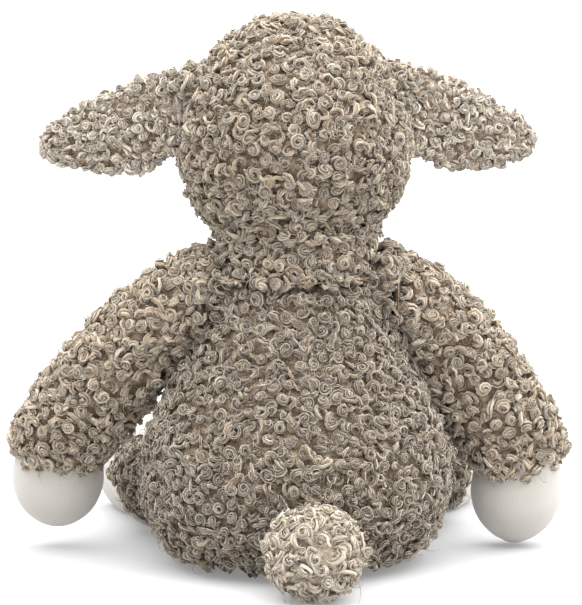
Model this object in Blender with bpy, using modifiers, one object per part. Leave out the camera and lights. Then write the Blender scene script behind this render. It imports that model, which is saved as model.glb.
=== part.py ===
"""A seated plush sheep with a looped fleece coat, as separate sewn and stuffed pieces.

The sheep faces -Y and sits on z = 0, with the origin under the middle of its body.
Its own left side is at +X. Every fleece, hide and filling is a soft form: a coarse
cage of rings carried along a path and rounded by subdivision. A shell is its form
less the same form drawn in by the cloth's thickness, so that filling and shell follow
each other. A limb turns in a seat that is round about its joint.
"""
import math

import bmesh
import bpy
from mathutils import Matrix, Vector

# Clearances and cutters
GAP = 0.0003
OVERRUN = 0.05
CUTTER_SIZE = 0.6
SWEEP_ROOM = 0.0008

# Cloth
FLEECE_WALL = 0.006
HIDE_WALL = 0.0016
FILL_SLACK = 0.0005

# Body, a pear with a flat base
BODY_HEIGHT = 0.152
BODY_HALF_WIDTH = 0.0735
BODY_HALF_DEPTH = 0.0655
BODY_SINK = 0.0005
BODY_SIDE_SEAM_Y = -0.004
BASE_PANEL_HEIGHT = 0.005
BASE_VOID_DROP = 0.003
# share of the height, of the half width, of the half depth, and lean forward
BODY_SHARES = (
    (0.00, 0.62, 0.60, 0.00),
    (0.06, 0.86, 0.84, 0.00),
    (0.18, 1.00, 1.00, 0.01),
    (0.36, 1.01, 1.02, 0.02),
    (0.54, 0.86, 0.86, 0.02),
    (0.73, 0.605, 0.64, 0.01),
    (1.00, 0.43, 0.49, 0.00),
)

# Pouch of beads that weighs the seat
POUCH_HEIGHT = 0.021
POUCH_HALF_WIDTH = 0.040
POUCH_HALF_DEPTH = 0.034
PILLOW_SHARES = ((0.00, 0.66), (0.22, 1.00), (0.72, 0.96), (1.00, 0.52))

# Neck: a round filling that the head nods on, in a loose sleeve
NECK_Y = -0.002
NECK_SEAM_DROP = 0.014
NECK_SEAM_Z = BODY_HEIGHT - NECK_SEAM_DROP
NECK_BALL_RADIUS = 0.030
NECK_SLEEVE_FOOT = 0.0365
NECK_SLEEVE_TOP = 0.0375
NECK_SLEEVE_HEIGHT = 0.020
NOD_Z = NECK_SEAM_Z + NECK_SLEEVE_HEIGHT

# Head, nearly an egg, with cheeks
HEAD_RISE = 0.0425
HEAD_CENTRE = Vector((0, -0.006, NOD_Z + HEAD_RISE))
HEAD_HALF_WIDTH = 0.0560
HEAD_HALF_DEPTH = 0.0560
HEAD_HALF_HEIGHT = 0.0575
HEAD_CHEEKS = 0.045
HEAD_RINGS = 6

# Face and muzzle, one smooth hide let into the front of the head
FACE_LENGTH = 0.052
FACE_ROOT_Y = -0.034
FACE_SINK = 0.0085
FACE_Z = HEAD_CENTRE.z - FACE_SINK
FACE_HALF_WIDTH = 0.0335
FACE_HALF_HEIGHT = 0.0345
FACE_DROP = 0.010
FACE_CUT_Y = -0.040
FACE_ROOT_RUN = 0.004
# share of the length, of the half width, of the half height and of the drop
FACE_SHARES = (
    (0.00, 1.00, 1.00, 0.0),
    (0.30, 1.00, 1.00, 0.1),
    (0.62, 0.84, 0.80, 0.5),
    (0.88, 0.66, 0.60, 0.9),
    (1.00, 0.38, 0.34, 1.0),
)

# Safety eyes: a domed head on a shank, locked by a washer behind the hide
EYE_RADIUS = 0.0050
EYE_DOME_HEIGHT = 0.0036
EYE_SKIRT = 0.0030
EYE_SHANK_RADIUS = 0.0016
EYE_SHANK_LENGTH = 0.0100
EYE_RUN = 0.0002
EYE_X = 0.0185
EYE_RISE = 0.0035
EYE_Z = HEAD_CENTRE.z + EYE_RISE
EYE_OUT_SHARE = 0.55
EYE_UP_SHARE = 0.30
EYE_SEGMENTS = 12
DOME_ANGLES = (35, 65)
WASHER_RADIUS = 0.0052
WASHER_THICKNESS = 0.0012
WASHER_DROP = 0.0050
SEEK_STEPS = 30

# Nose, a stitched pad on the tip of the muzzle
NOSE_HALF_WIDTH = 0.0075
NOSE_HALF_HEIGHT = 0.0052
NOSE_THICKNESS = 0.0024
NOSE_SKIRT = 0.0030
NOSE_SINK = 0.0145
NOSE_Z = HEAD_CENTRE.z - NOSE_SINK
NOSE_SHARES = ((0.0, 0.70), (0.5, 1.0), (1.0, 0.60))

# Ears, drooping leaves that bend at their seam
EAR_SEAM_X = 0.0543
EAR_SEAM_Y = -0.004
EAR_RISE = 0.0105
EAR_SEAM_Z = HEAD_CENTRE.z + EAR_RISE
EAR_SEAM_TILT = math.radians(12)
EAR_SWEEP = math.radians(24)
EAR_DROOP = math.radians(12)
EAR_LENGTH = 0.0700
EAR_HALF_WIDTH = 0.0225
EAR_HALF_THICKNESS = 0.0066
EAR_LINING_THICKNESS = 0.0030
EAR_LINING_INSET = 0.0022
EAR_ROOT_RADIUS = 0.0035
EAR_ROOT_LENGTH = 0.0340
EAR_TURNS = (-25, 20)
# share of the length, of the half width and of the half thickness
EAR_SHARES = (
    (-0.02, 1.04, 0.40),
    (0.14, 1.11, 0.66),
    (0.38, 1.02, 1.00),
    (0.64, 0.80, 0.98),
    (0.87, 0.50, 0.84),
    (1.00, 0.24, 0.50),
)

# Arms: places of the middle line from the shoulder to the wrist, and of the hand
SHOULDER_SINK = 0.0105
SHOULDER = Vector((0.0420, -0.003, NECK_SEAM_Z - SHOULDER_SINK))
SHOULDER_RADIUS = 0.0200
SHOULDER_INNER_X = 0.018
SHOULDER_SPIN_SEGMENTS = 20
ARM_ROOT_WALL = 0.012
# distances from the shoulder's axis at which an arm's inner side clears the body by the room
ARM_HOLLOW_RADII = (0.0080, 0.0215, 0.0310, 0.0455, 0.0700)
ARM_ROOM = 0.0030
# place across and forward, and share of the shoulder's height
ARM_STATIONS = (
    (0.028, -0.003, 1.085),
    (0.059, -0.005, 0.972),
    (0.087, -0.012, 0.737),
    (0.1055, -0.023, 0.474),
    (0.1105, -0.032, 0.267),
)
ARM_LINE = [Vector((x, y, share * SHOULDER.z)) for x, y, share in ARM_STATIONS]
ARM_HALF_WIDTH = 0.0205
ARM_HALF_DEPTH = 0.0200
ARM_SHARES = (1.00, 0.98, 1.02, 1.12, 1.14)
WRIST = Vector((0.1080, -0.029, 0.0430))
HAND_END = Vector((0.1075, -0.041, 0.0065))
HAND_HALF_WIDTH = 0.0205
HAND_HALF_DEPTH = 0.0190
# share of the way from wrist to end, and of the half sizes
HAND_SHARES = ((-0.25, 0.88), (0.12, 1.02), (0.44, 1.06), (0.72, 0.88), (0.92, 0.54), (1.03, 0.24))
# at rest the left arm is swung a little forward and the right one a little back
LEFT_ARM_SWING = math.radians(8.5)
RIGHT_ARM_SWING = math.radians(-3)

# Legs: places of the middle line from the hip to the ankle, and of the foot
HIP = Vector((0.0500, -0.0520, 0.0310))
HIP_RADIUS = 0.0175
LEG_LINE = (
    Vector((0.0500, -0.0490, 0.0295)),
    Vector((0.0530, -0.0620, 0.0280)),
    Vector((0.0590, -0.0800, 0.0258)),
    Vector((0.0645, -0.1010, 0.0246)),
    Vector((0.0690, -0.1240, 0.0242)),
)
LEG_HALF_WIDTH = 0.0230
LEG_HALF_HEIGHT = 0.0210
LEG_SHARES = (0.70, 0.88, 1.02, 1.02, 0.94)
# both legs lie turned a little to the sheep's right, and the cuffs slope back underneath
LEG_SWAY = math.radians(-8)
CUFF_SLOPE = Vector((0.30, 0, -0.55))
LEG_TURNS = (0, 20)
ANKLE = Vector((0.0670, -0.1140, 0.0246))
FOOT_END = Vector((0.0770, -0.1600, 0.0250))
FOOT_HALF_WIDTH = 0.0232
FOOT_HALF_HEIGHT = 0.0268
# share of the way from ankle to end, and of the half sizes
FOOT_SHARES = ((-0.60, 0.76), (0.00, 0.88), (0.34, 0.96), (0.80, 1.04), (1.03, 0.62))
SOLE_SHARE = 0.92

# Tail, a pompom on a short dock that turns in the body's back
TAIL_ROOT = Vector((0, 0.0635, 0.0215))
DOCK_RADIUS = 0.0040
DOCK_SEAM_SHARE = 0.75
TAIL_TURNS = (-20, 20)
TAIL_END = Vector((0, 0.0990, 0.0222))
TAIL_HALF_WIDTH = 0.0232
TAIL_HALF_HEIGHT = 0.0218
TAIL_WALL = 0.0080
# share of the way from root to end, and of the half sizes
TAIL_SHARES = ((-0.20, 0.66), (0.12, 0.78), (0.40, 1.00), (0.68, 1.02), (0.90, 0.76), (1.00, 0.44))

# Corners in a cage's ring, which one round of subdivision doubles, and in round pieces
BIG_SIDES = 10
LIMB_SIDES = 8
FILL_SIDES = 6
NECK_SEGMENTS = 20
BOSS_SEGMENTS = 20
HIP_SEGMENTS = 16
ROOT_SEGMENTS = 12
BORE_SEGMENTS = 10

# Colours as 8-bit display values, with roughness and metallic value
LOOKS = {
    "fleece": ((144, 132, 117), 0.95),
    "tail_fleece": ((176, 168, 156), 0.95),
    "hide": ((202, 198, 193), 0.80),
    "lining": ((182, 170, 162), 0.80),
    "filling": ((236, 233, 226), 1.00),
    "pouch": ((206, 202, 194), 0.90),
    "bead": ((28, 22, 20), 0.12),
    "washer": ((226, 226, 222), 0.45),
    "thread": ((120, 92, 84), 0.60),
}
DISPLAY_MAX = 255
DISPLAY_GAMMA = 2.2

ACROSS = Vector((1, 0, 0))
FORWARD = Vector((0, -1, 0))
UP = Vector((0, 0, 1))


def empty_scene():
    for thing in list(bpy.data.objects):
        bpy.data.objects.remove(thing, do_unlink=True)


def new_collection(name):
    group = bpy.data.collections.new(name)
    bpy.context.scene.collection.children.link(group)
    return group


empty_scene()
PARTS = new_collection("plush_sheep")
CUTTERS = new_collection("cutters")


# Making pieces and cutters


def colour_of(display):
    """Linear colour of an 8-bit display value."""
    return tuple((value / DISPLAY_MAX) ** DISPLAY_GAMMA for value in display) + (1.0,)


def dress(piece, look):
    """Gives a piece its own material."""
    display, roughness = LOOKS[look]
    material = bpy.data.materials.new(piece.name + "_" + look)
    material.use_nodes = True
    shader = material.node_tree.nodes["Principled BSDF"]
    shader.inputs["Base Color"].default_value = colour_of(display)
    shader.inputs["Roughness"].default_value = roughness
    shader.inputs["Metallic"].default_value = 0.0
    material.diffuse_color = colour_of(display)
    piece.data.materials.append(material)


def object_from(name, mesh_data, look=None, smooth=True):
    """Puts a bmesh into a part, or into a hidden cutter if it has no look."""
    mesh = bpy.data.meshes.new(name)
    mesh_data.to_mesh(mesh)
    mesh_data.free()
    piece = bpy.data.objects.new(name, mesh)
    if smooth:
        mesh.shade_smooth()
    if look:
        PARTS.objects.link(piece)
        dress(piece, look)
    else:
        CUTTERS.objects.link(piece)
        piece.hide_render = True
        piece.display_type = "WIRE"
    return piece


def joint_empty(name, place):
    """An empty on a joint's axis, which the moving pieces hang from."""
    empty = bpy.data.objects.new(name, None)
    empty.location = place
    PARTS.objects.link(empty)
    return empty


def hang(joint, *pieces):
    """Parents pieces to a joint, with their shape kept where it is."""
    for piece in pieces:
        piece.parent = joint
        piece.location = -joint.location


def cut(piece, *cutters, operation="DIFFERENCE"):
    for cutter in cutters:
        modifier = piece.modifiers.new(cutter.name, "BOOLEAN")
        modifier.operation = operation
        modifier.solver = "EXACT"
        modifier.object = cutter
    return piece


def join(piece, *others):
    return cut(piece, *others, operation="UNION")


def cage_swell(step):
    """How far corners a step of angle apart are set out, to lie on the arc once rounded."""
    return 4 / (3 + math.cos(step))


def ring_points(centre, along, side, halves, sides, square):
    """Corners of a ring, set out far enough that the rounded form has the half sizes."""
    swell = cage_swell(math.tau / sides)
    if square:
        side = (side - along * side.dot(along)).normalized()
    depth = along.cross(side).normalized()
    turns = [math.tau * corner / sides for corner in range(sides)]
    return [
        centre + swell * (side * halves[0] * math.cos(turn) + depth * halves[1] * math.sin(turn))
        for turn in turns
    ]


def soft_form(name, line, halves, side, sides, look=None, square=True):
    """A ring of corners about each point of a line, closed at both ends and rounded."""
    cage = bmesh.new()
    rings = []
    last = len(line) - 1
    for index, centre in enumerate(line):
        along = (line[min(index + 1, last)] - line[max(index - 1, 0)]).normalized()
        corners = ring_points(centre, along, side, halves[index], sides, square)
        rings.append([cage.verts.new(corner) for corner in corners])
    for near, far in zip(rings, rings[1:]):
        for corner in range(sides):
            after = (corner + 1) % sides
            cage.faces.new((near[corner], near[after], far[after], far[corner]))
    cage.faces.new(list(reversed(rings[0])))
    cage.faces.new(rings[-1])
    piece = object_from(name, cage, look)
    rounding = piece.modifiers.new("rounding", "SUBSURF")
    rounding.levels = 1
    rounding.render_levels = 1
    piece.modifiers.new("facets", "TRIANGULATE")
    return piece


def drawn_in(line, halves, wall, start=0.0, end=0.0):
    """A form's line and half sizes, smaller by a wall, with its two ends drawn in."""
    moved = list(line)
    moved[0] = line[0] + (line[1] - line[0]).normalized() * start
    moved[-1] = line[-1] + (line[-2] - line[-1]).normalized() * end
    return moved, [(wide - wall, deep - wall) for wide, deep in halves]


def beyond(name, place, direction):
    """A big block that holds everything beyond a plane."""
    cube = bmesh.new()
    bmesh.ops.create_cube(cube, size=CUTTER_SIZE)
    block = object_from(name, cube, smooth=False)
    turn = direction.to_track_quat("Z", "Y").to_matrix().to_4x4()
    middle = place + direction.normalized() * (CUTTER_SIZE / 2)
    block.matrix_world = Matrix.Translation(middle) @ turn
    return block


def rod(name, place, direction, radius, length, segments, look=None, end_radius=None):
    """A round bar that starts at a place, with its own radius at the end if one is given."""
    bar = bmesh.new()
    bmesh.ops.create_cone(
        bar,
        cap_ends=True,
        segments=segments,
        radius1=radius,
        radius2=end_radius or radius,
        depth=length,
    )
    turn = direction.to_track_quat("Z", "Y").to_matrix().to_4x4()
    middle = place + direction.normalized() * (length / 2)
    bmesh.ops.transform(bar, matrix=Matrix.Translation(middle) @ turn, verts=bar.verts)
    return object_from(name, bar, look)


def seat_radius(radius, segments):
    """Radius of a faceted hollow that a faceted ball or bar of this radius turns in."""
    return (radius + GAP) / math.cos(math.pi / segments) ** 2


def ball(name, place, radius, segments, look=None):
    sphere = bmesh.new()
    bmesh.ops.create_uvsphere(sphere, u_segments=segments, v_segments=segments // 2, radius=radius)
    bmesh.ops.translate(sphere, vec=place, verts=sphere.verts)
    return object_from(name, sphere, look)


def turned(name, outline, place, direction, segments, look=None, closed=False):
    """A turned piece: an outline of radius and height, spun about its axis by Screw."""
    profile = bmesh.new()
    corners = [profile.verts.new((radius, 0, height)) for radius, height in outline]
    if closed:
        corners.append(corners[0])
    for first, second in zip(corners, corners[1:]):
        profile.edges.new((first, second))
    piece = object_from(name, profile, look)
    spin = piece.modifiers.new("spin", "SCREW")
    spin.steps = segments
    spin.render_steps = segments
    spin.use_merge_vertices = True
    spin.merge_threshold = 0.00001
    turn = direction.to_track_quat("Z", "Y").to_matrix().to_4x4()
    piece.matrix_world = Matrix.Translation(place) @ turn
    return piece


def mirrored(point, sign):
    return Vector((point.x * sign, point.y, point.z))


def swept(name, form, place, axis, turns):
    """A still form as a turning piece meets it: turned back about the joint, once a turn."""
    met = []
    for index, turn in enumerate(turns):
        block = form(name + "_" + str(index), -SWEEP_ROOM)
        back = Matrix.Rotation(math.radians(-turn), 4, axis)
        block.matrix_world = Matrix.Translation(place) @ back @ Matrix.Translation(-place)
        met.append(block)
    return met


# Body


def body_line():
    return [
        Vector((0, -lean * BODY_HALF_DEPTH, height * BODY_HEIGHT - BODY_SINK))
        for height, wide, deep, lean in BODY_SHARES
    ]


def body_halves():
    return [(wide * BODY_HALF_WIDTH, deep * BODY_HALF_DEPTH) for height, wide, deep, lean in BODY_SHARES]


def body_form(name, wall=0.0, drop=0.0, look=None, fine=True):
    """The body's form. A negative wall makes it larger, and drop lowers its foot."""
    line, halves = drawn_in(body_line(), body_halves(), wall, start=-drop)
    return soft_form(name, line, halves, ACROSS, BIG_SIDES if fine else FILL_SIDES, look)


def shoulder_boss(name, sign):
    """The swelling of the body's coat at a shoulder, flat where the arm is sewn on."""
    start = mirrored(Vector((SHOULDER_INNER_X, SHOULDER.y, SHOULDER.z)), sign)
    length = SHOULDER.x - SHOULDER_INNER_X - GAP
    return rod(name, start, ACROSS * sign, SHOULDER_RADIUS, length, BOSS_SEGMENTS)


def hip_balls(name, radius):
    return [ball(name + "_" + word, mirrored(HIP, sign), radius, HIP_SEGMENTS) for word, sign in SIDES]


def make_body():
    """Coat panels, base panel, filling and pouch."""
    floor = beyond("under_floor", Vector(), -UP)
    bosses = [shoulder_boss("shoulder_boss_" + word, sign) for word, sign in SIDES]
    above_neck_seam = beyond("above_neck_seam", Vector((0, 0, NECK_SEAM_Z - GAP)), UP)
    hips = hip_balls("hip_seat", seat_radius(HIP_RADIUS, HIP_SEGMENTS))
    void = body_form("body_void", FLEECE_WALL, BASE_VOID_DROP - FLEECE_WALL, fine=False)
    below_base = beyond("below_base_seam", Vector((0, 0, BASE_PANEL_HEIGHT + GAP)), -UP)
    above_base = beyond("above_base_seam", Vector((0, 0, BASE_PANEL_HEIGHT)), UP)
    seam = Vector((0, BODY_SIDE_SEAM_Y, 0))
    front = beyond("front_of_side_seam", seam, FORWARD)
    behind = beyond("behind_side_seam", seam + FORWARD * GAP, -FORWARD)
    dock_seat = ball("dock_seat", TAIL_ROOT, seat_radius(DOCK_RADIUS, ROOT_SEGMENTS), ROOT_SEGMENTS)
    for word, sign in SIDES:
        other = beyond("past_back_seam_" + word, ACROSS * (sign * GAP / 2), -ACROSS * sign)
        panel = body_form("body_back_" + word, look="fleece")
        join(panel, bosses[0], bosses[1])
        cut(panel, other, front, below_base, above_neck_seam, void, dock_seat)
    belly = body_form("body_belly", look="fleece")
    join(belly, bosses[0], bosses[1])
    cut(belly, behind, below_base, above_neck_seam, void, hips[0], hips[1])
    base = body_form("body_base", look="fleece")
    cut(base, floor, above_base)
    make_body_filling(above_neck_seam)


def make_body_filling(above_neck_seam):
    """The filling, hollowed underneath for the pouch of beads."""
    foot = BASE_PANEL_HEIGHT + GAP
    pillow("bead_pouch", foot, 0.0, "pouch")
    room = pillow("pouch_room", foot - GAP, GAP)
    wall = FLEECE_WALL + GAP
    filling = body_form("body_filling", wall, BASE_VOID_DROP - FLEECE_WALL, "filling", fine=False)
    under = beyond("under_filling", Vector((0, 0, foot + GAP)), -UP)
    hips = hip_balls("hip_room", seat_radius(HIP_RADIUS, HIP_SEGMENTS) + GAP)
    cut(filling, under, above_neck_seam, room, *hips)


def pillow(name, foot, more, look=None):
    """A flat cushion shape, larger by more on every side."""
    line = [Vector((0, 0, foot + share * (POUCH_HEIGHT + 2 * more))) for share, wide in PILLOW_SHARES]
    halves = [(wide * POUCH_HALF_WIDTH + more, wide * POUCH_HALF_DEPTH + more) for share, wide in PILLOW_SHARES]
    return soft_form(name, line, halves, ACROSS, FILL_SIDES, look)


# Neck


def make_neck():
    """The filling that the head nods on, and the loose sleeve round it."""
    joint = joint_empty("neck_turn_joint", Vector((0, NECK_Y, NECK_SEAM_Z)))
    nod = Vector((0, NECK_Y, NOD_Z))
    under = beyond("under_neck", Vector((0, 0, NECK_SEAM_Z)), -UP)
    filling = ball("neck_filling", nod, NECK_BALL_RADIUS, NECK_SEGMENTS, "filling")
    cut(filling, under)
    foot = Vector((0, NECK_Y, NECK_SEAM_Z))
    sleeve = rod(
        "neck_sleeve",
        foot,
        UP,
        NECK_SLEEVE_FOOT,
        NECK_SLEEVE_HEIGHT,
        NECK_SEGMENTS,
        "fleece",
        NECK_SLEEVE_TOP,
    )
    ball_room = ball("neck_ball_room", nod, seat_radius(NECK_BALL_RADIUS, NECK_SEGMENTS), NECK_SEGMENTS)
    head_room = head_form("head_room", -GAP)
    cut(sleeve, ball_room, head_room)
    hang(joint, filling, sleeve)


# Head


def head_form(name, wall=0.0, look=None, fine=True):
    """An egg of rings, spaced by equal angles from pole to pole."""
    step = math.pi / HEAD_RINGS
    swell = cage_swell(step)
    angles = [step * (ring + 0.5) for ring in range(HEAD_RINGS)]
    wide, deep, high = (
        swell * (half - wall) for half in (HEAD_HALF_WIDTH, HEAD_HALF_DEPTH, HEAD_HALF_HEIGHT)
    )
    line = [HEAD_CENTRE - UP * (high * math.cos(angle)) for angle in angles]
    cheeks = [1 + HEAD_CHEEKS * math.cos(angle) for angle in angles]
    halves = [
        (wide * cheek * math.sin(angle), deep * math.sin(angle)) for angle, cheek in zip(angles, cheeks)
    ]
    return soft_form(name, line, halves, ACROSS, BIG_SIDES if fine else FILL_SIDES, look)


def face_form(name, wall=0.0, look=None, fine=True):
    """The muzzle's form, from inside the head to its tip."""
    line = [
        Vector((0, FACE_ROOT_Y - length * FACE_LENGTH, FACE_Z - drop * FACE_DROP))
        for length, wide, high, drop in FACE_SHARES
    ]
    halves = [(wide * FACE_HALF_WIDTH, high * FACE_HALF_HEIGHT) for length, wide, high, drop in FACE_SHARES]
    line, halves = drawn_in(line, halves, wall, start=-FACE_ROOT_RUN if wall else 0.0, end=wall)
    return soft_form(name, line, halves, ACROSS, LIMB_SIDES if fine else FILL_SIDES, look)


def outside_face(x, z, share):
    """True if a point this share of the way along the muzzle lies outside its form."""
    for near, far in zip(FACE_SHARES, FACE_SHARES[1:]):
        if near[0] <= share <= far[0]:
            along = (share - near[0]) / (far[0] - near[0])
            wide, high, drop = (a + (b - a) * along for a, b in zip(near[1:], far[1:]))
            middle = FACE_Z - drop * FACE_DROP
            return math.hypot(x / (wide * FACE_HALF_WIDTH), (z - middle) / (high * FACE_HALF_HEIGHT)) > 1
    return True


def on_face(x, z):
    """The place on the muzzle's form at this x and z, found by halving."""
    low, high = 0.0, 1.0
    for step in range(SEEK_STEPS):
        middle = (low + high) / 2
        if outside_face(x, z, middle):
            high = middle
        else:
            low = middle
    return Vector((x, FACE_ROOT_Y - low * FACE_LENGTH, z))


def make_eye(word, sign, face_grown):
    """A safety eye whose dome sits down on the hide, and the washer that locks it."""
    outward = Vector((sign * EYE_OUT_SHARE, -1, EYE_UP_SHARE)).normalized()
    seat = on_face(sign * EYE_X, EYE_Z)
    dome = [(0, EYE_DOME_HEIGHT)]
    for turn in DOME_ANGLES:
        angle = math.radians(turn)
        dome.append((EYE_RADIUS * math.sin(angle), EYE_DOME_HEIGHT * math.cos(angle)))
    dome += [(EYE_RADIUS, 0), (EYE_RADIUS, -EYE_SKIRT), (0, -EYE_SKIRT)]
    eye = turned("eye_" + word, dome, seat, outward, EYE_SEGMENTS, "bead")
    cut(eye, face_grown)
    tip = seat - outward * EYE_SHANK_LENGTH
    reach = EYE_SHANK_LENGTH + EYE_DOME_HEIGHT / 2
    join(eye, rod("eye_shank_" + word, tip, outward, EYE_SHANK_RADIUS, reach, BORE_SEGMENTS))
    inner = EYE_SHANK_RADIUS + EYE_RUN
    ring = [
        (inner, -WASHER_DROP),
        (WASHER_RADIUS, -WASHER_DROP),
        (WASHER_RADIUS, -WASHER_DROP - WASHER_THICKNESS),
        (inner, -WASHER_DROP - WASHER_THICKNESS),
    ]
    washer = turned("eye_washer_" + word, ring, seat, outward, EYE_SEGMENTS, "washer", closed=True)
    bore_tip = tip - outward * GAP
    bore = rod("eye_bore_" + word, bore_tip, outward, inner, EYE_SHANK_LENGTH + EYE_SKIRT, BORE_SEGMENTS)
    pocket_foot = seat - outward * (WASHER_DROP + WASHER_THICKNESS + GAP)
    pocket = rod(
        "eye_pocket_" + word, pocket_foot, outward, WASHER_RADIUS + GAP, EYE_SHANK_LENGTH, BORE_SEGMENTS
    )
    return eye, washer, bore, pocket


def make_nose(face_grown):
    """The stitched pad on the tip of the muzzle."""
    foot = Vector((0, FACE_ROOT_Y - FACE_LENGTH + NOSE_SKIRT, NOSE_Z))
    length = NOSE_SKIRT + NOSE_THICKNESS
    line = [foot + FORWARD * (share * length) for share, wide in NOSE_SHARES]
    halves = [(wide * NOSE_HALF_WIDTH, wide * NOSE_HALF_HEIGHT) for share, wide in NOSE_SHARES]
    nose = soft_form("nose", line, halves, ACROSS, LIMB_SIDES, "thread")
    return cut(nose, face_grown)


def make_head():
    """Coat halves, face hide, filling, eyes and nose, on the nod joint."""
    place = Vector((0, NECK_Y, NOD_Z))
    joint = joint_empty("head_nod_joint", place)
    seat = ball("head_seat", place, seat_radius(NECK_BALL_RADIUS, NECK_SEGMENTS), NECK_SEGMENTS)
    void = head_form("head_void", FLEECE_WALL, fine=False)
    grown = face_form("face_room", -GAP)
    pieces = []
    for word, sign in SIDES:
        other = beyond("past_crown_seam_" + word, ACROSS * (sign * GAP / 2), -ACROSS * sign)
        half = head_form("head_coat_" + word, look="fleece")
        place, seam = ear_seam(sign)
        groove_radius = seat_radius(EAR_ROOT_RADIUS, ROOT_SEGMENTS)
        groove = along_seam("ear_groove_" + word, place, seam, groove_radius, EAR_ROOT_LENGTH + 2 * GAP)
        pieces.append(cut(half, other, void, seat, grown, groove))
    face_behind = beyond("behind_face_cut", Vector((0, FACE_CUT_Y, 0)), -FORWARD)
    face = face_form("face_hide", look="hide")
    cut(face, face_behind, face_form("face_void", HIDE_WALL))
    filling = head_form("head_filling", FLEECE_WALL + GAP, "filling", fine=False)
    front_room = face_form("face_front_room", -GAP)
    cut(front_room, beyond("behind_front_room", Vector((0, FACE_CUT_Y + GAP, 0)), -FORWARD))
    cut(filling, seat, front_room)
    join(filling, face_form("muzzle_filling", HIDE_WALL + GAP + FILL_SLACK, fine=False))
    for word, sign in SIDES:
        eye, washer, bore, pocket = make_eye(word, sign, grown)
        cut(face, bore)
        cut(filling, bore, pocket)
        pieces += [eye, washer]
    pieces += [face, filling, make_nose(grown)]
    hang_turned(joint, pieces)
    return joint


def hang_turned(joint, pieces):
    """Parents pieces to a joint where they stand, turned ones included."""
    for piece in pieces:
        where = piece.matrix_world.copy()
        piece.parent = joint
        piece.matrix_parent_inverse = Matrix.Translation(-joint.location)
        piece.matrix_basis = where


# Ears


def ear_seam(sign):
    """Middle of an ear's seam on the head, and the seam's direction."""
    place = mirrored(Vector((EAR_SEAM_X, EAR_SEAM_Y, EAR_SEAM_Z)), sign)
    return place, Vector((-sign * math.sin(EAR_SEAM_TILT), 0, math.cos(EAR_SEAM_TILT)))


def along_seam(name, place, seam, radius, length):
    return rod(name, place - seam * (length / 2), seam, radius, length, ROOT_SEGMENTS)


def make_ear(word, sign, head):
    """A fleece back whose round root turns in the head's groove, and a smooth lining."""
    place, seam = ear_seam(sign)
    joint = joint_empty("ear_joint_" + word, place)
    reach = Vector((sign * math.cos(EAR_SWEEP), -math.sin(EAR_SWEEP), -math.tan(EAR_DROOP))).normalized()
    face = (reach.cross(seam) * sign).normalized()
    back = ear_form("ear_back_" + word, place, reach, seam, 0.0, "fleece")
    lining = ear_form("ear_lining_" + word, place, reach, seam, EAR_LINING_INSET, "lining")
    split = EAR_HALF_THICKNESS - EAR_LINING_INSET - EAR_LINING_THICKNESS
    rooms = swept("ear_room_" + word, head_form, place, seam * -sign, EAR_TURNS)
    root = along_seam("ear_root_" + word, place, seam, EAR_ROOT_RADIUS, EAR_ROOT_LENGTH)
    root_room = along_seam("ear_root_room_" + word, place, seam, EAR_ROOT_RADIUS + GAP, EAR_ROOT_LENGTH)
    cut(back, beyond("ear_front_" + word, place + face * split, face), *rooms)
    join(back, root)
    cut(lining, beyond("ear_rear_" + word, place + face * (split + GAP), -face), *rooms, root_room)
    hang(joint, back, lining)
    carried = joint.location - head.location
    joint.parent = head
    joint.location = carried


def ear_form(name, place, reach, seam, inset, look):
    """A leaf whose rings stay parallel to the seam."""
    length = EAR_LENGTH - inset
    line = [place + reach * (share * length) for share, wide, thick in EAR_SHARES]
    halves = [
        (wide * EAR_HALF_WIDTH - inset, thick * EAR_HALF_THICKNESS - inset / 2)
        for share, wide, thick in EAR_SHARES
    ]
    return soft_form(name, line, halves, seam, LIMB_SIDES, look, square=False)


# Limbs


def way(start, end, shares):
    """Points at shares of the way from start to end, and the half size shares there."""
    return [start + (end - start) * share for share, size in shares]


def limb_tip(name, line, halves, wall, cuff, down, side, sides, look=None):
    """The smooth end of a limb, from the cuff on, smaller by a wall."""
    line, halves = drawn_in(line, halves, wall, end=wall)
    tip = soft_form(name, line, halves, side, sides, look)
    return cut(tip, beyond(name + "_above_cuff", cuff + down * GAP, -down))


def posed(point, limb, sign):
    """A limb's point on its own side, turned about the joint into the pose it lies in at rest."""
    joint = mirrored(limb["joint"], sign)
    return joint + limb["pose"][sign] @ (mirrored(point, sign) - joint)


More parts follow.
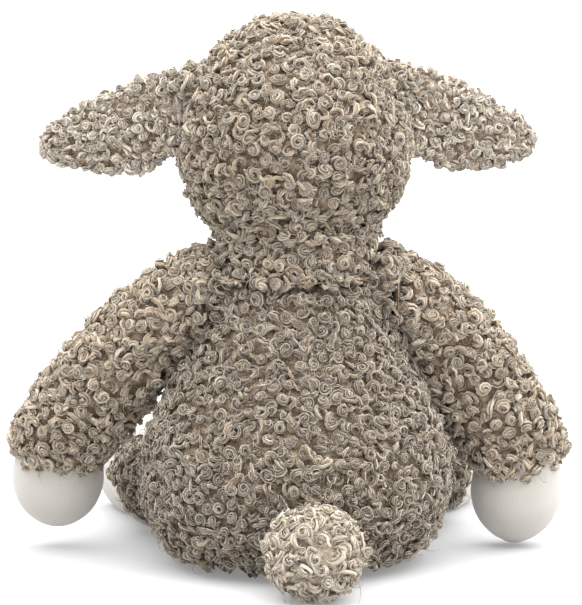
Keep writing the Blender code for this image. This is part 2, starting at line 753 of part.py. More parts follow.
def make_limb(word, sign, limb):
    """A fleece sleeve, a hide end and one filling through both."""
    name = limb["name"] + "_" + word
    side = limb["side"]
    line = [posed(point, limb, sign) for point in limb["line"]]
    halves = [(share * limb["halves"][0], share * limb["halves"][1]) for share in limb["shares"]]
    cuff, end = posed(limb["cuff"], limb, sign), posed(limb["end"], limb, sign)
    down = ((end - cuff).normalized() + mirrored(limb["slope"], sign)).normalized()
    sleeve = soft_form(limb["name"] + "_sleeve_" + word, line, halves, side, LIMB_SIDES, "fleece")
    limb["root"](sleeve, name, sign)
    void_line, void_halves = drawn_in(line, halves, FLEECE_WALL, -limb["root_depth"], -FLEECE_WALL)
    cut(sleeve, soft_form(name + "_void", void_line, void_halves, side, FILL_SIDES))
    cut(sleeve, beyond(name + "_past_cuff", cuff, down))

    tip_line = way(cuff, end, limb["end_shares"])
    tip_halves = [
        (share * limb["end_halves"][0], share * limb["end_halves"][1]) for place, share in limb["end_shares"]
    ]
    end_name = limb["end_name"] + "_" + word
    hide = limb_tip(end_name, tip_line, tip_halves, 0.0, cuff, down, side, LIMB_SIDES, "hide")
    hollow_line, hollow_halves = drawn_in(tip_line, tip_halves, HIDE_WALL, end=HIDE_WALL)
    cut(hide, soft_form(name + "_hollow", hollow_line, hollow_halves, side, LIMB_SIDES))

    inside = FLEECE_WALL + FILL_SLACK
    core_line, core_halves = drawn_in(line, halves, inside, FILL_SLACK - limb["root_depth"], 0.0)
    filling = soft_form(limb["name"] + "_filling_" + word, core_line, core_halves, side, FILL_SIDES, "filling")
    cut(filling, beyond(name + "_past_core", cuff + down * (2 * GAP), down))
    tip_wall = HIDE_WALL + GAP + FILL_SLACK
    join(filling, limb_tip(name + "_tip_core", tip_line, tip_halves, tip_wall, cuff, down, side, FILL_SIDES))
    joint = joint_empty(limb["name"] + "_joint_" + word, mirrored(limb["joint"], sign))
    return joint, sleeve, hide, filling


def plain_root(sleeve, name, sign):
    return sleeve


def hip_root(sleeve, name, sign):
    """Clears the belly as the leg lifts, and adds the ball that turns in the hip seat."""
    hip = mirrored(HIP, sign)
    cut(sleeve, *swept(name + "_room", body_form, hip, -ACROSS, LEG_TURNS))
    return join(sleeve, ball(name + "_root", hip, HIP_RADIUS, HIP_SEGMENTS))


def body_half_width(height):
    """Half the body's width at a height, between its rings."""
    for near, far in zip(BODY_SHARES, BODY_SHARES[1:]):
        low, high = near[0] * BODY_HEIGHT, far[0] * BODY_HEIGHT
        if low <= height <= high:
            along = (height - low) / (high - low)
            return (near[1] + (far[1] - near[1]) * along) * BODY_HALF_WIDTH
    return 0.0


def arm_clearance(radius):
    """How far outside the shoulder an arm's inner side stays, this far from the axis, as the arm swings."""
    return max(0.0, body_half_width(SHOULDER.z - radius) + ARM_ROOM - SHOULDER.x)


def make_arm(word, sign):
    """An arm whose inner side is round about the shoulder's axis, so that it can swing there."""
    joint, sleeve, hand, filling = make_limb(word, sign, ARM)
    hollow = [(radius, arm_clearance(radius)) for radius in ARM_HOLLOW_RADII]
    widest = ARM_HOLLOW_RADII[-1]
    outline = [(0, 0), *hollow, (widest, -OVERRUN), (0, -OVERRUN)]
    inside = turned("arm_inside_" + word, outline, mirrored(SHOULDER, sign), ACROSS * sign, SHOULDER_SPIN_SEGMENTS)
    cut(sleeve, inside)
    cut(filling, inside)
    hang(joint, sleeve, hand, filling)


def make_leg(word, sign):
    """A leg whose root is a ball in the body's hip seat, with a sole on its foot."""
    joint, sleeve, foot, filling = make_limb(word, sign, LEG)
    floor = beyond("leg_floor_" + word, Vector(), -UP)
    ankle, end = posed(ANKLE, LEG, sign), posed(FOOT_END, LEG, sign)
    forward = (end - ankle).normalized()
    seam = ankle + (end - ankle) * SOLE_SHARE
    halves = [(share * FOOT_HALF_WIDTH, share * FOOT_HALF_HEIGHT) for place, share in FOOT_SHARES]
    sole = soft_form("sole_" + word, way(ankle, end, FOOT_SHARES), halves, ACROSS, LIMB_SIDES, "lining")
    cut(sole, beyond("behind_sole_" + word, seam + forward * GAP, -forward), floor)
    past_seam = beyond("past_foot_" + word, seam, forward)
    cut(foot, past_seam, floor)
    cut(filling, past_seam)
    hang(joint, sleeve, foot, filling, sole)


# Tail


def make_tail():
    """A pale pompom of long fleece over a small filling."""
    joint = joint_empty("tail_joint", TAIL_ROOT)
    line = way(TAIL_ROOT, TAIL_END, TAIL_SHARES)
    halves = [(share * TAIL_HALF_WIDTH, share * TAIL_HALF_HEIGHT) for place, share in TAIL_SHARES]
    coat = soft_form("tail_coat", line, halves, ACROSS, LIMB_SIDES, "tail_fleece")
    void_line, void_halves = drawn_in(line, halves, TAIL_WALL, -TAIL_WALL, TAIL_WALL)
    core_line, core_halves = drawn_in(line, halves, TAIL_WALL + GAP, -TAIL_WALL, TAIL_WALL + GAP)
    filling = soft_form("tail_filling", core_line, core_halves, ACROSS, FILL_SIDES, "filling")
    rooms = swept("tail_room", body_form, TAIL_ROOT, UP, TAIL_TURNS)
    cut(coat, soft_form("tail_void", void_line, void_halves, ACROSS, FILL_SIDES), *rooms)
    dock_seam = TAIL_ROOT - FORWARD * (DOCK_RADIUS * DOCK_SEAM_SHARE)
    cut(filling, beyond("tail_core_root", dock_seam, FORWARD))
    join(filling, ball("tail_dock", TAIL_ROOT, DOCK_RADIUS, ROOT_SEGMENTS))
    hang(joint, coat, filling)


SIDES = (("left", 1), ("right", -1))
ARM = {
    "name": "arm",
    "end_name": "hand",
    "joint": SHOULDER,
    "root": plain_root,
    "root_depth": -ARM_ROOT_WALL,
    "side": FORWARD,
    "line": ARM_LINE,
    "halves": (ARM_HALF_DEPTH, ARM_HALF_WIDTH),
    "shares": ARM_SHARES,
    "cuff": WRIST,
    "end": HAND_END,
    "end_halves": (HAND_HALF_DEPTH, HAND_HALF_WIDTH),
    "end_shares": HAND_SHARES,
    "pose": {
        1: Matrix.Rotation(LEFT_ARM_SWING, 3, -ACROSS),
        -1: Matrix.Rotation(RIGHT_ARM_SWING, 3, -ACROSS),
    },
    "slope": Vector(),
}
LEG = {
    "name": "leg",
    "end_name": "foot",
    "joint": HIP,
    "root": hip_root,
    "root_depth": FLEECE_WALL,
    "side": ACROSS,
    "line": LEG_LINE,
    "halves": (LEG_HALF_WIDTH, LEG_HALF_HEIGHT),
    "shares": LEG_SHARES,
    "cuff": ANKLE,
    "end": FOOT_END,
    "end_halves": (FOOT_HALF_WIDTH, FOOT_HALF_HEIGHT),
    "end_shares": FOOT_SHARES,
    "pose": {1: Matrix.Rotation(LEG_SWAY, 3, UP), -1: Matrix.Rotation(LEG_SWAY, 3, UP)},
    "slope": CUFF_SLOPE,
}

make_body()
make_neck()
head_joint = make_head()
for side_word, side_sign in SIDES:
    make_ear(side_word, side_sign, head_joint)
    make_arm(side_word, side_sign)
    make_leg(side_word, side_sign)
make_tail()
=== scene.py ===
"""Plush sheep seen from behind: curled fleece, smooth cloth face, hands and feet, over the CAD frame."""

import math

import bpy
import numpy as np
from mathutils import Matrix, Vector
from mathutils.bvhtree import BVHTree


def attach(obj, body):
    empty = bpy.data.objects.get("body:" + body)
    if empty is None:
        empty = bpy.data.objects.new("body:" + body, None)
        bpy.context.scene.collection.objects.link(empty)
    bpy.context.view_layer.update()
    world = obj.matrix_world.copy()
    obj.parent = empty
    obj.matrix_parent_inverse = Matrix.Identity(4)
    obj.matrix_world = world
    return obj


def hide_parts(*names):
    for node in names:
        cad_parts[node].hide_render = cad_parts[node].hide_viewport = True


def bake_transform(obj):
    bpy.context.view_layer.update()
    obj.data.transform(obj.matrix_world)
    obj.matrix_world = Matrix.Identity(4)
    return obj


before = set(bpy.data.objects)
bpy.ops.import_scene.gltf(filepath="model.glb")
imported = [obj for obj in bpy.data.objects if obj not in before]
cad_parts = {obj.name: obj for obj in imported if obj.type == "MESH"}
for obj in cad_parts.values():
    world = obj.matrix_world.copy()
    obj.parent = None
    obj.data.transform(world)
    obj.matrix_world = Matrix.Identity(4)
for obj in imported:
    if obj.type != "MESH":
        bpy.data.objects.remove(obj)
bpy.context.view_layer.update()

# View. The sensor's size goes to the picture's longer side, which is its height.
VIEW_AZIMUTH = math.radians(174)
VIEW_ELEVATION = math.radians(8)
VIEW_TARGET = (0.0023, 0, 0.124)
VIEW_DISTANCE = 1.8
PICTURE_HEIGHT = 0.2813
SENSOR_SIZE = 36

# Curls of the fleece: rosettes that lie on top, and looser loops that fill the room between and below them. A
# curl is a lock of a few strands, with rings of corners along it, and each strand has a few sides and a share
# of the lock's thickness. Each range is drawn from evenly. Turns of the coil, share of the radius left at its
# inner end, radius of the coil, half thickness of the lock, climb from the root to the end, lean of the
# coil's axis, and height of its seat over the coat.
ROSETTE = {
    "rings": 14,
    "sides": 3,
    "strands": 3,
    "strand_share": 0.54,
    "turns": (1.10, 1.75),
    "inner": (0.10, 0.36),
    "radius": (0.0022, 0.0037),
    "thickness": (0.00105, 0.00145),
    "rise": (0.0004, 0.0021),
    "lean": (0.0, 0.65),
    "seat": (-0.0015, 0.0002),
}
LOOP = {
    "rings": 8,
    "sides": 3,
    "strands": 2,
    "strand_share": 0.66,
    "turns": (0.50, 1.05),
    "inner": (0.50, 1.00),
    "radius": (0.0018, 0.0034),
    "thickness": (0.00125, 0.00180),
    "rise": (0.0002, 0.0018),
    "lean": (0.1, 1.25),
    "seat": (-0.0024, -0.0009),
}
ROSETTE_SPACING = 0.0054
LOOP_SPACING = 0.0044
TRIES = 9
CLUMP_LENGTH = 0.017
CLUMP_HEIGHT = 0.0008
CLUMP_WAVES = 14
# Painted shade low in the coat: a curl is painted darkest at this height over the coat and below it, and its
# own colour returns over this run above it
SHADE_FADE_FROM = -0.0036
SHADE_FADE_RUN = 0.0044
PIECE_TRIANGLES = 185000

# The coil: powers of the shrinking radius and of the climb, the dive of its root, how oval it is, and a small
# wave
SHRINK_POWER = 0.8
CLIMB_POWER = 1.3
ROOT_DIVE = 0.0016
ROOT_FADE = 6
OVAL = (0.84, 1.0)
WOBBLE = 0.00035
WOBBLE_TURNS = (0.8, 2.2)
WOBBLE_RATIO = 1.3

# The lock: shares of its thickness at its ends and added in the middle, the sine between them, the waves in
# its thickness, how far its strands wind and lie apart, and how far their tones differ
END_SHARE = 0.45
MIDDLE_SHARE = 0.55
MIDDLE_RUN = 0.86
MIDDLE_START = 0.1
MIDDLE_POWER = 0.6
PINCH = 0.12
PINCH_TURNS = (1.5, 4)
TWIST = 2.5
MORE_TWIST = 1.2
STRAND_OUT = 0.62
TONE_APART = 0.25

# Fine fibres that run along a curl: the fewest and most on one, the half turn that they start in, their drift
# round it, how far off its middle they run, in its thicknesses, and how far they leave it at the end
LOOP_FIBRES = (0, 1)
ROSETTE_FIBRES = (1, 2)
FIBRE_SIDES = 3
FIBRE_THICKNESS = (0.00015, 0.00026)
FIBRE_START = (0.1, 0.9)
FIBRE_DRIFT = 0.9
FIBRE_OFF = (0.98, 1.2)
FIBRE_LEAVE = 0.5

# Stray hairs: share of the curls that have one and its length, then its form
HAIRS = (0.85, 0.009)
TAIL_HAIRS = (1.0, 0.012)
HAIR_RINGS = 7
HAIR_SIDES = 3
HAIR_THICKNESS = 0.00019
HAIR_THINNING = 0.6
HAIR_BEND = (1.6, 5.2)
HAIR_SIZE = (0.6, 1.3)
HAIR_LEAN = (0.6, 1.3)
HAIR_ASIDE = 0.4
HAIR_ROOT = (-0.001, 0.0016)

# Faces that take curls: no node met within the reach, and not facing straight down
FREE_REACH = 0.012
BESIDE_REACH = 0.0010
RAY_LIFT = 0.0001
STRAIGHT_DOWN = -0.95
TINY = 1e-12

# A leg's curls stay off its heel, where the smooth foot reaches back below them
HEEL_TOP = 0.024
HEEL_BACK = {"leg_left": -0.090, "leg_right": -0.112}

# Skins below the curls
SKIN_VOXEL = 0.0036
SKIN_INSET = 0.0022
EAR_VOXEL = 0.0020
EAR_INSET = 0.0012
FLOOR_ROOM = 0.0002
MERGE_PLACES = 6

# Heights and middles of the arms, where they rest against the body, and where they are fuller outside
ARM_HEIGHTS = (0.034, 0.060, 0.094, 0.124, 0.138)
ARM_MIDDLES = (0.1105, 0.1055, 0.087, 0.059, 0.028)
ARM_REST_HEIGHT = 0.076
ARM_REST_RUN = 0.026
ARM_REST_PUSH = 0.0085
ARM_FULL_HEIGHT = 0.054
ARM_FULL_RUN = 0.018
ARM_FULL_PUSH = 0.0040

# Where a leg is fuller outside, and the width over which a limb's push grows from its middle
LEG_MIDDLE = 0.062
LEG_FULL_PUSH = {"leg_left": 0.0010, "leg_right": 0.0045}
LEG_FULL_Y = -0.092
LEG_FULL_RUN = 0.034
SIDE_RUN = 0.020

# Smooth cloth
CLOTH_THREADS = 520.0
CLOTH_PRESSURE = 4.0
CLOTH_STEPS = 14
CLOTH_CAP = 0.0012
LINING_VOXEL = 0.0014
LINING_INSET = 0.0006
SWELL_RINGS = 40
SWELL_SIDES = 48
CAP_RINGS = 5
TIP_SHARE = 0.05

# Materials


class Wire:
    """A number in a material's nodes. Sums on wires add Math nodes."""

    def __init__(self, look, socket):
        self.look = look
        self.socket = socket

    def math(self, operation, *numbers):
        return self.look.node("ShaderNodeMath", {"operation": operation}, dict(enumerate(numbers)))

    def __add__(self, other):
        return self.math("ADD", self, other)

    def __sub__(self, other):
        return self.math("SUBTRACT", self, other)

    def __rsub__(self, other):
        return self.math("SUBTRACT", other, self)

    def __mul__(self, other):
        return self.math("MULTIPLY", self, other)

    __radd__ = __add__
    __rmul__ = __mul__

    def sine(self):
        return self.math("SINE", self)


class Look:
    """A material and its nodes."""

    def __init__(self, name):
        self.material = bpy.data.materials.new(name)
        self.material.use_nodes = True
        self.tree = self.material.node_tree
        self.shader = self.tree.nodes["Principled BSDF"]

    def node(self, kind, settings=None, inputs=None, output=0):
        """Adds a node, with its settings set first, and returns the wire from one of its outputs."""
        made = self.tree.nodes.new(kind)
        for name, value in (settings or {}).items():
            setattr(made, name, value)
        self.feed(made, inputs or {})
        return Wire(self, made.outputs[output])

    def feed(self, made, inputs):
        for name, value in inputs.items():
            if isinstance(value, Wire):
                self.tree.links.new(value.socket, made.inputs[name])
            else:
                made.inputs[name].default_value = value

    def vector(self, operation, *vectors):
        return self.node("ShaderNodeVectorMath", {"operation": operation}, dict(enumerate(vectors)))

    def mix(self, share, first, second):
        """One colour changing into another as share goes from 0 to 1."""
        return self.node("ShaderNodeMix", {"data_type": "RGBA"}, {0: share, 6: first, 7: second}, output=2)

    def spread(self, wire, low, high, first=0.0, last=1.0):
        """A number from low to high, as another goes from first to last."""
        ends = {"From Min": first, "From Max": last, "To Min": low, "To Max": high}
        return self.node("ShaderNodeMapRange", None, {"Value": wire} | ends)

    def place(self):
        """The piece's own coordinates."""
        return self.node("ShaderNodeTexCoord", output=3)

    def noise(self, vector, scale, detail=2.0, output=0):
        inputs = {"Vector": vector, "Scale": scale, "Detail": detail}
        return self.node("ShaderNodeTexNoise", None, inputs, output)

    def cells(self, vector, scale):
        """How far a point is from the middle of its cell."""
        return self.node("ShaderNodeTexVoronoi", None, {"Vector": vector, "Scale": scale})

    def bands(self, vector, way, scale, distortion, detail, detail_scale):
        """Bands one after another along one direction, bent a little."""
        inputs = {"Vector": vector, "Scale": scale, "Distortion": distortion}
        details = {"Detail": detail, "Detail Scale": detail_scale}
        settings = {"wave_type": "BANDS", "bands_direction": way}
        return self.node("ShaderNodeTexWave", settings, inputs | details, output=1)

    def raised(self, height, distance):
        """A normal that follows a height."""
        inputs = {"Height": height, "Distance": distance, "Strength": 1.0}
        return self.node("ShaderNodeBump", None, inputs)

    def finish(self, **inputs):
        self.feed(self.shader, {name.replace("_", " "): value for name, value in inputs.items()})
        return self.material


def shade(red, green, blue):
    """A display colour, 0 to 255, as the linear colour a material takes: the standard curve of displays, a
    line below a twenty-fifth and a power of 2.4 above it."""
    parts = [channel / 255 for channel in (red, green, blue)]
    linear = [part / 12.92 if part <= 0.04045 else ((part + 0.055) / 1.055) ** 2.4 for part in parts]
    return (*linear, 1)


LOCK_APART = 40
RIDGE_STRETCHES = ((1.8, 5, 1), (3.5, 11, 1))
RIDGE_ENDS = (0.38, 0.62)
# The most of the dark colour that painted shade mixes in
PAINTED_SHADE_SHARE = 0.85


def curl_look(name, dark, mid, light):
    """Locks of fine fibres: wide and fine ridges run along each lock, and every lock has its own tone.
    Painted shade darkens it between the ridges and low in the coat."""
    look = Look(name)
    along = look.node("ShaderNodeUVMap", {"uv_map": "lock"})
    tone = look.node("ShaderNodeAttribute", {"attribute_name": "tone"}, output=2)
    # Share of each point left free of painted shade: 0 low in the coat, 1 higher up
    unshaded_share = look.node("ShaderNodeAttribute", {"attribute_name": "unshaded_share"}, output=2)
    own = look.node("ShaderNodeCombineXYZ", None, {"Z": tone * LOCK_APART})
    lines = []
    for stretch in RIDGE_STRETCHES:
        place = look.vector("ADD", look.vector("MULTIPLY", along, stretch), own)
        lines.append(look.spread(look.noise(place, 1.0), 0.0, 1.0, *RIDGE_ENDS))
    ridges = lines[0] * 0.7 + lines[1] * 0.3
    body = look.mix(tone, mid, light)
    # Painted shade in the grooves between the ridges
    body = look.mix(look.spread(ridges, PAINTED_SHADE_SHARE, 0.0), body, dark)
    return look.finish(
        # Painted shade low in the coat
        Base_Color=look.mix(look.spread(unshaded_share, PAINTED_SHADE_SHARE, 0.0), body, dark),
        Roughness=0.88,
        Specular_IOR_Level=0.2,
        Sheen_Weight=1.0,
        Sheen_Roughness=0.5,
        Sheen_Tint=(1, 0.93, 0.82, 1),
        Normal=look.raised(ridges, 0.0006),
    )


BACKING_BEND = (0.003, 0.003, 0.003)
BACKING_RINGS = 34
BACKING_DOME = (0.15, 0.65)


def shaded_backing_look(name, dark, light):
    """The cloth between the curls, itself covered with short flat curls: each cell is a dome with rings round
    its middle, the sine of the distance from there. Its colour is painted shade: it goes from the dark colour
    at a cell's edge and in the troughs of its rings to the light one on top."""
    look = Look(name)
    place = look.place()
    moved = look.vector("MULTIPLY_ADD", look.noise(place, 300.0, output=1), BACKING_BEND, place)
    middle = look.cells(moved, 210.0)
    rings = (middle * BACKING_RINGS).sine() * 0.5 + 0.5
    dome = look.spread(middle, 1.0, 0.0, *BACKING_DOME)
    return look.finish(
        # Painted shade: darker where the dome and its rings are low
        Base_Color=look.mix(dome * 0.7 + rings * 0.3, dark, light),
        Roughness=0.95,
        Normal=look.raised(dome * 0.8 + rings * 0.2, 0.0016),
    )


def cloth_look(name, dark, light):
    """Smooth brushed cloth: rows of fine threads both ways, soft patches of nap and a little fuzz."""
    look = Look(name)
    place = look.place()
    rows = look.bands(place, "X", CLOTH_THREADS, 1.4, 2.0, 3.0)
    across = look.bands(place, "Z", CLOTH_THREADS * 0.8, 1.8, 2.0, 3.0)
    nap = look.noise(place, 60.0, 4.0)
    fuzz = look.noise(place, 1500.0)
    weave = rows * 0.6 + across * 0.4
    return look.finish(
        Base_Color=look.mix(weave * 0.14 + nap * 0.5 + fuzz * 0.36, dark, light),
        Roughness=0.8,
        Specular_IOR_Level=0.3,
        Sheen_Weight=0.35,
        Sheen_Roughness=0.6,
        Normal=look.raised(weave * 0.2 + fuzz * 0.8, 0.00018),
    )


def pouch_look():
    """A closely woven bag that the beads inside press out in small lumps."""
    look = Look("bead_bag_cloth")
    place = look.place()
    lumps = look.cells(place, 380.0)
    weave = look.noise(place, 2200.0, 1.0)
    return look.finish(
        Base_Color=look.mix(weave, shade(196, 190, 178), shade(222, 217, 206)),
        Roughness=0.85,
        Normal=look.raised(1 - lumps + weave * 0.2, 0.0008),
    )


def bead_look():
    """Polished dark plastic with faint swirls left by polishing."""
    look = Look("polished_bead")
    swirl = look.noise(look.place(), 420.0, 3.0)
    return look.finish(
        Base_Color=look.mix(swirl, shade(18, 13, 11), shade(40, 29, 24)),
        Roughness=look.spread(swirl, 0.06, 0.16),
        Coat_Weight=0.6,
        Coat_Roughness=0.05,
    )


def washer_look():
    """Moulded white plastic."""
    look = Look("moulded_washer")
    grain = look.noise(look.place(), 1300.0)
    return look.finish(
        Base_Color=look.mix(grain, shade(222, 222, 216), shade(238, 238, 233)),
        Roughness=look.spread(grain, 0.4, 0.55),
        Normal=look.raised(grain, 0.00005),
    )


def thread_look():
    """Satin-stitched thread: fine plies side by side, with a soft shine."""
    look = Look("satin_thread")
    place = look.place()
    plies = look.bands(place, "X", 900.0, 1.2, 1.0, 1.0)
    fuzz = look.noise(place, 1800.0)
    return look.finish(
        Base_Color=look.mix(plies * 0.6 + fuzz * 0.4, shade(84, 60, 52), shade(140, 108, 97)),
        Roughness=0.5,
        Sheen_Weight=0.3,
        Normal=look.raised(plies, 0.0001),
    )


# Meshes


def linked(name, data):
    """A new object in the scene."""
    made = bpy.data.objects.new(name, data)
    bpy.context.scene.collection.objects.link(made)
    return made


def above_floor(points):
    """The same points, with none of them below the floor."""
    points[:, 2] = np.maximum(points[:, 2], FLOOR_ROOM)
    return points


def new_piece(name, points, quads, look, ends=None, uv=None, point_values=None):
    """A mesh from arrays: points, faces of four corners, then the faces that close its ends."""
    mesh = bpy.data.meshes.new(name)
    ends = np.zeros((0, 3), int) if ends is None else ends
    corners = np.concatenate([quads.ravel(), ends.ravel()])
    sizes = np.concatenate([np.full(len(quads), 4), np.full(len(ends), ends.shape[1])])
    starts = np.concatenate([[0], np.cumsum(sizes)[:-1]])
    mesh.vertices.add(len(points))
    mesh.vertices.foreach_set("co", points.ravel())
    mesh.loops.add(len(corners))
    mesh.loops.foreach_set("vertex_index", corners)
    mesh.polygons.add(len(sizes))
    mesh.polygons.foreach_set("loop_start", starts)
    mesh.polygons.foreach_set("loop_total", sizes)
    mesh.polygons.foreach_set("use_smooth", np.ones(len(sizes), bool))
    if uv is not None:
        mesh.uv_layers.new(name="lock").data.foreach_set("uv", uv.ravel())
    for value_name, values in (point_values or {}).items():
        attribute = mesh.attributes.new(value_name, "FLOAT", "POINT")
        attribute.data.foreach_set("value", values.astype(np.float32).ravel())
    mesh.update(calc_edges=True)
    mesh.validate()
    mesh.materials.append(look)
    return linked(name, mesh)


def rows_of(items, field, kind=float):
    """One field of a mesh's items, as rows of three numbers."""
    values = np.empty(len(items) * 3, kind)
    items.foreach_get(field, values)
    return values.reshape(-1, 3)


def arrays_of(mesh):
    """A mesh's corners and triangles."""
    mesh.calc_loop_triangles()
    return rows_of(mesh.vertices, "co"), rows_of(mesh.loop_triangles, "vertices", int)


def joined(nodes):
    """The corners and triangles of some CAD nodes, as one set."""
    points = []
    triangles = []
    count = 0
    for name in nodes:
        node_points, node_triangles = arrays_of(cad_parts[name].data)
        points.append(node_points)
        triangles.append(node_triangles + count)
        count += len(node_points)
    return np.concatenate(points), np.concatenate(triangles)


def tree_of(nodes):
    """All these nodes' triangles, to send rays against."""
    points, triangles = joined(nodes)
    return BVHTree.FromPolygons(points.tolist(), triangles.tolist())


def clear(places, normals, tree, reach):
    """Whether nothing of the tree is met within reach from each place along its normal."""
    starts = places + normals * RAY_LIFT
    met = (tree.ray_cast(Vector(start), Vector(normal), reach)[0] for start, normal in zip(starts, normals))
    return np.array([place is None for place in met])


def outer_faces(points, triangles, near, reach=FREE_REACH):
    """The triangles that face away from all that is near: corners, normals and areas. The cross product of
    two edges points along the normal and is as long as twice the area."""
    corners = points[triangles]
    normals = np.cross(corners[:, 1] - corners[:, 0], corners[:, 2] - corners[:, 0])
    sizes = np.linalg.norm(normals, axis=1)
    keep = sizes > TINY
    corners = corners[keep]
    areas = sizes[keep] / 2
    normals = normals[keep] / sizes[keep, None]
    free = clear(corners.mean(axis=1), normals, near, reach) & (normals[:, 2] > STRAIGHT_DOWN)
    return corners[free], normals[free], areas[free]


def scattered(corners, normals, areas, spacing, rng):
    """Points over triangles, none nearer to another than the spacing: even chance by area, then thinned.
    Cells as wide as the spacing hold the points kept, so only a point's own cell and those round it are
    looked through."""
    count = int(areas.sum() / spacing**2 * TRIES)
    chosen = rng.choice(len(areas), count, p=areas / areas.sum())
    first = np.sqrt(rng.random((count, 1)))
    second = rng.random((count, 1))
    a, b, c = (corners[chosen, index] for index in range(3))
    places = a * (1 - first) + b * (first * (1 - second)) + c * (first * second)
    cells = {}
    kept = []
    for index, place in enumerate(places.tolist()):
        home = tuple(int(math.floor(part / spacing)) for part in place)
        close = (
            cells.get((home[0] + x, home[1] + y, home[2] + z), ())
            for x in (-1, 0, 1)
            for y in (-1, 0, 1)
            for z in (-1, 0, 1)
        )
        if all(math.dist(place, other) >= spacing for group in close for other in group):
            cells.setdefault(home, []).append(place)
            kept.append(index)
    kept = np.array(kept)
    return places[kept], normals[chosen[kept]]


def bell(values, middle, run):
    """1 at the middle, and exp(-(distance / run) squared) away from it."""
    return np.exp(-(((values - middle) / run) ** 2))


def fuller(points, body):
    """Points of a limb's coat, pushed sideways where the limb is fuller: an arm towards the body where it
    rests against it, and outwards above the hand, and a leg outwards. A push is the product of a bell over
    the limb's height or length and of a share that grows from nothing at the limb's middle."""
    sign = 1 if body.endswith("left") else -1
    if body.startswith("arm"):
        middle = np.interp(points[:, 2], ARM_HEIGHTS, ARM_MIDDLES)
        out = np.clip((points[:, 0] * sign - middle) / SIDE_RUN, -1, 1)
        rest = bell(points[:, 2], ARM_REST_HEIGHT, ARM_REST_RUN)
        full = bell(points[:, 2], ARM_FULL_HEIGHT, ARM_FULL_RUN)
        push = ARM_FULL_PUSH * np.maximum(out, 0) * full + ARM_REST_PUSH * np.minimum(out, 0) * rest
    elif body in LEG_FULL_PUSH:
        out = np.clip((points[:, 0] * sign - LEG_MIDDLE) / SIDE_RUN, 0, 1)
        push = LEG_FULL_PUSH[body] * out * bell(points[:, 1], LEG_FULL_Y, LEG_FULL_RUN)
    else:
        return points
    pushed = points.copy()
    pushed[:, 0] += sign * push
    return pushed


def unit(vectors):
    return vectors / np.maximum(np.linalg.norm(vectors, axis=-1, keepdims=True), TINY)


def square_to(normals, rng):
    """Two directions square to each normal, turned by chance."""
    near = unit(np.cross(normals, rng.normal(size=normals.shape)))
    return near, np.cross(normals, near)


def clumps(places, rng):
    """A smooth random field, mostly between -1 and 1: the sum of waves of one length in all directions."""
    ways = unit(rng.normal(size=(CLUMP_WAVES, 3))) * math.tau / CLUMP_LENGTH
    waves = np.sin(places @ ways.T + rng.uniform(0, math.tau, CLUMP_WAVES))
    return waves.sum(axis=1, keepdims=True) / CLUMP_WAVES**0.5


def curl_lines(kind, places, normals, size, rng):
    """Middle lines of the curls, the axis of each, and the height of each point over the coat. Along a curl t
    goes from 0 to 1: the angle grows with t, the radius shrinks from R to an inner share of it as t ** 0.8,
    and the height climbs as t ** 1.3 from a root that dives as exp(-6 t). The coil is then leant over by
    chance."""
    count = len(places)
    turns, inner, radius, rise, lean, seat = (
        rng.uniform(*kind[name], (count, 1)) for name in ("turns", "inner", "radius", "rise", "lean", "seat")
    )
    t = np.linspace(0, 1, kind["rings"])[None, :]
    hand = np.where(rng.random((count, 1)) < 0.5, 1, -1)
    angle = rng.uniform(0, math.tau, (count, 1)) + hand * math.tau * turns * t
    reach = size * radius * (1 - (1 - inner) * t**SHRINK_POWER)
    oval = rng.uniform(*OVAL, (count, 1))
    x = reach * np.cos(angle)
    y = reach * np.sin(angle) * oval
    z = size * rise * t**CLIMB_POWER - ROOT_DIVE * size * np.exp(-ROOT_FADE * t)
    leant_y = y * np.cos(lean) - z * np.sin(lean)
    leant_z = y * np.sin(lean) + z * np.cos(lean)
    across, beside = square_to(normals, rng)
    height = leant_z + seat + CLUMP_HEIGHT * clumps(places, rng)
    wave = rng.uniform(*WOBBLE_TURNS, (count, 1)) * math.tau * t + rng.uniform(0, math.tau, (count, 1))
    x = x + WOBBLE * np.sin(wave)
    height = height + WOBBLE * np.cos(wave * WOBBLE_RATIO)
    lines = (
        places[:, None]
        + x[..., None] * across[:, None]
        + leant_y[..., None] * beside[:, None]
        + height[..., None] * normals[:, None]
    )
    axis = unit(-np.sin(lean) * beside + np.cos(lean) * normals)
    return lines, axis, height


def frames(lines, axis):
    """Two directions square to each line at each of its points: aside in the coil, and along its axis."""
    along = unit(np.gradient(lines, axis=1))
    out = unit(np.cross(along, axis[:, None]))
    return out, np.cross(out, along)


def round_lines(lines, out, up, off, angle):
    """Each line moved off its place by off cos(angle) aside and off sin(angle) along the axis."""
    return lines + (off * np.cos(angle))[..., None] * out + (off * np.sin(angle))[..., None] * up


def tubes(lines, axis, thickness, sides):
    """A tube round each line: at each of its points a ring of corners, even angles apart, in the plane square
    to the line, as far out as its thickness."""
    out, up = frames(lines, axis)
    turn = (np.arange(sides) * math.tau / sides)[:, None]
    ring = np.cos(turn) * out[:, :, None] + np.sin(turn) * up[:, :, None]
    return lines[:, :, None] + thickness[..., None, None] * ring


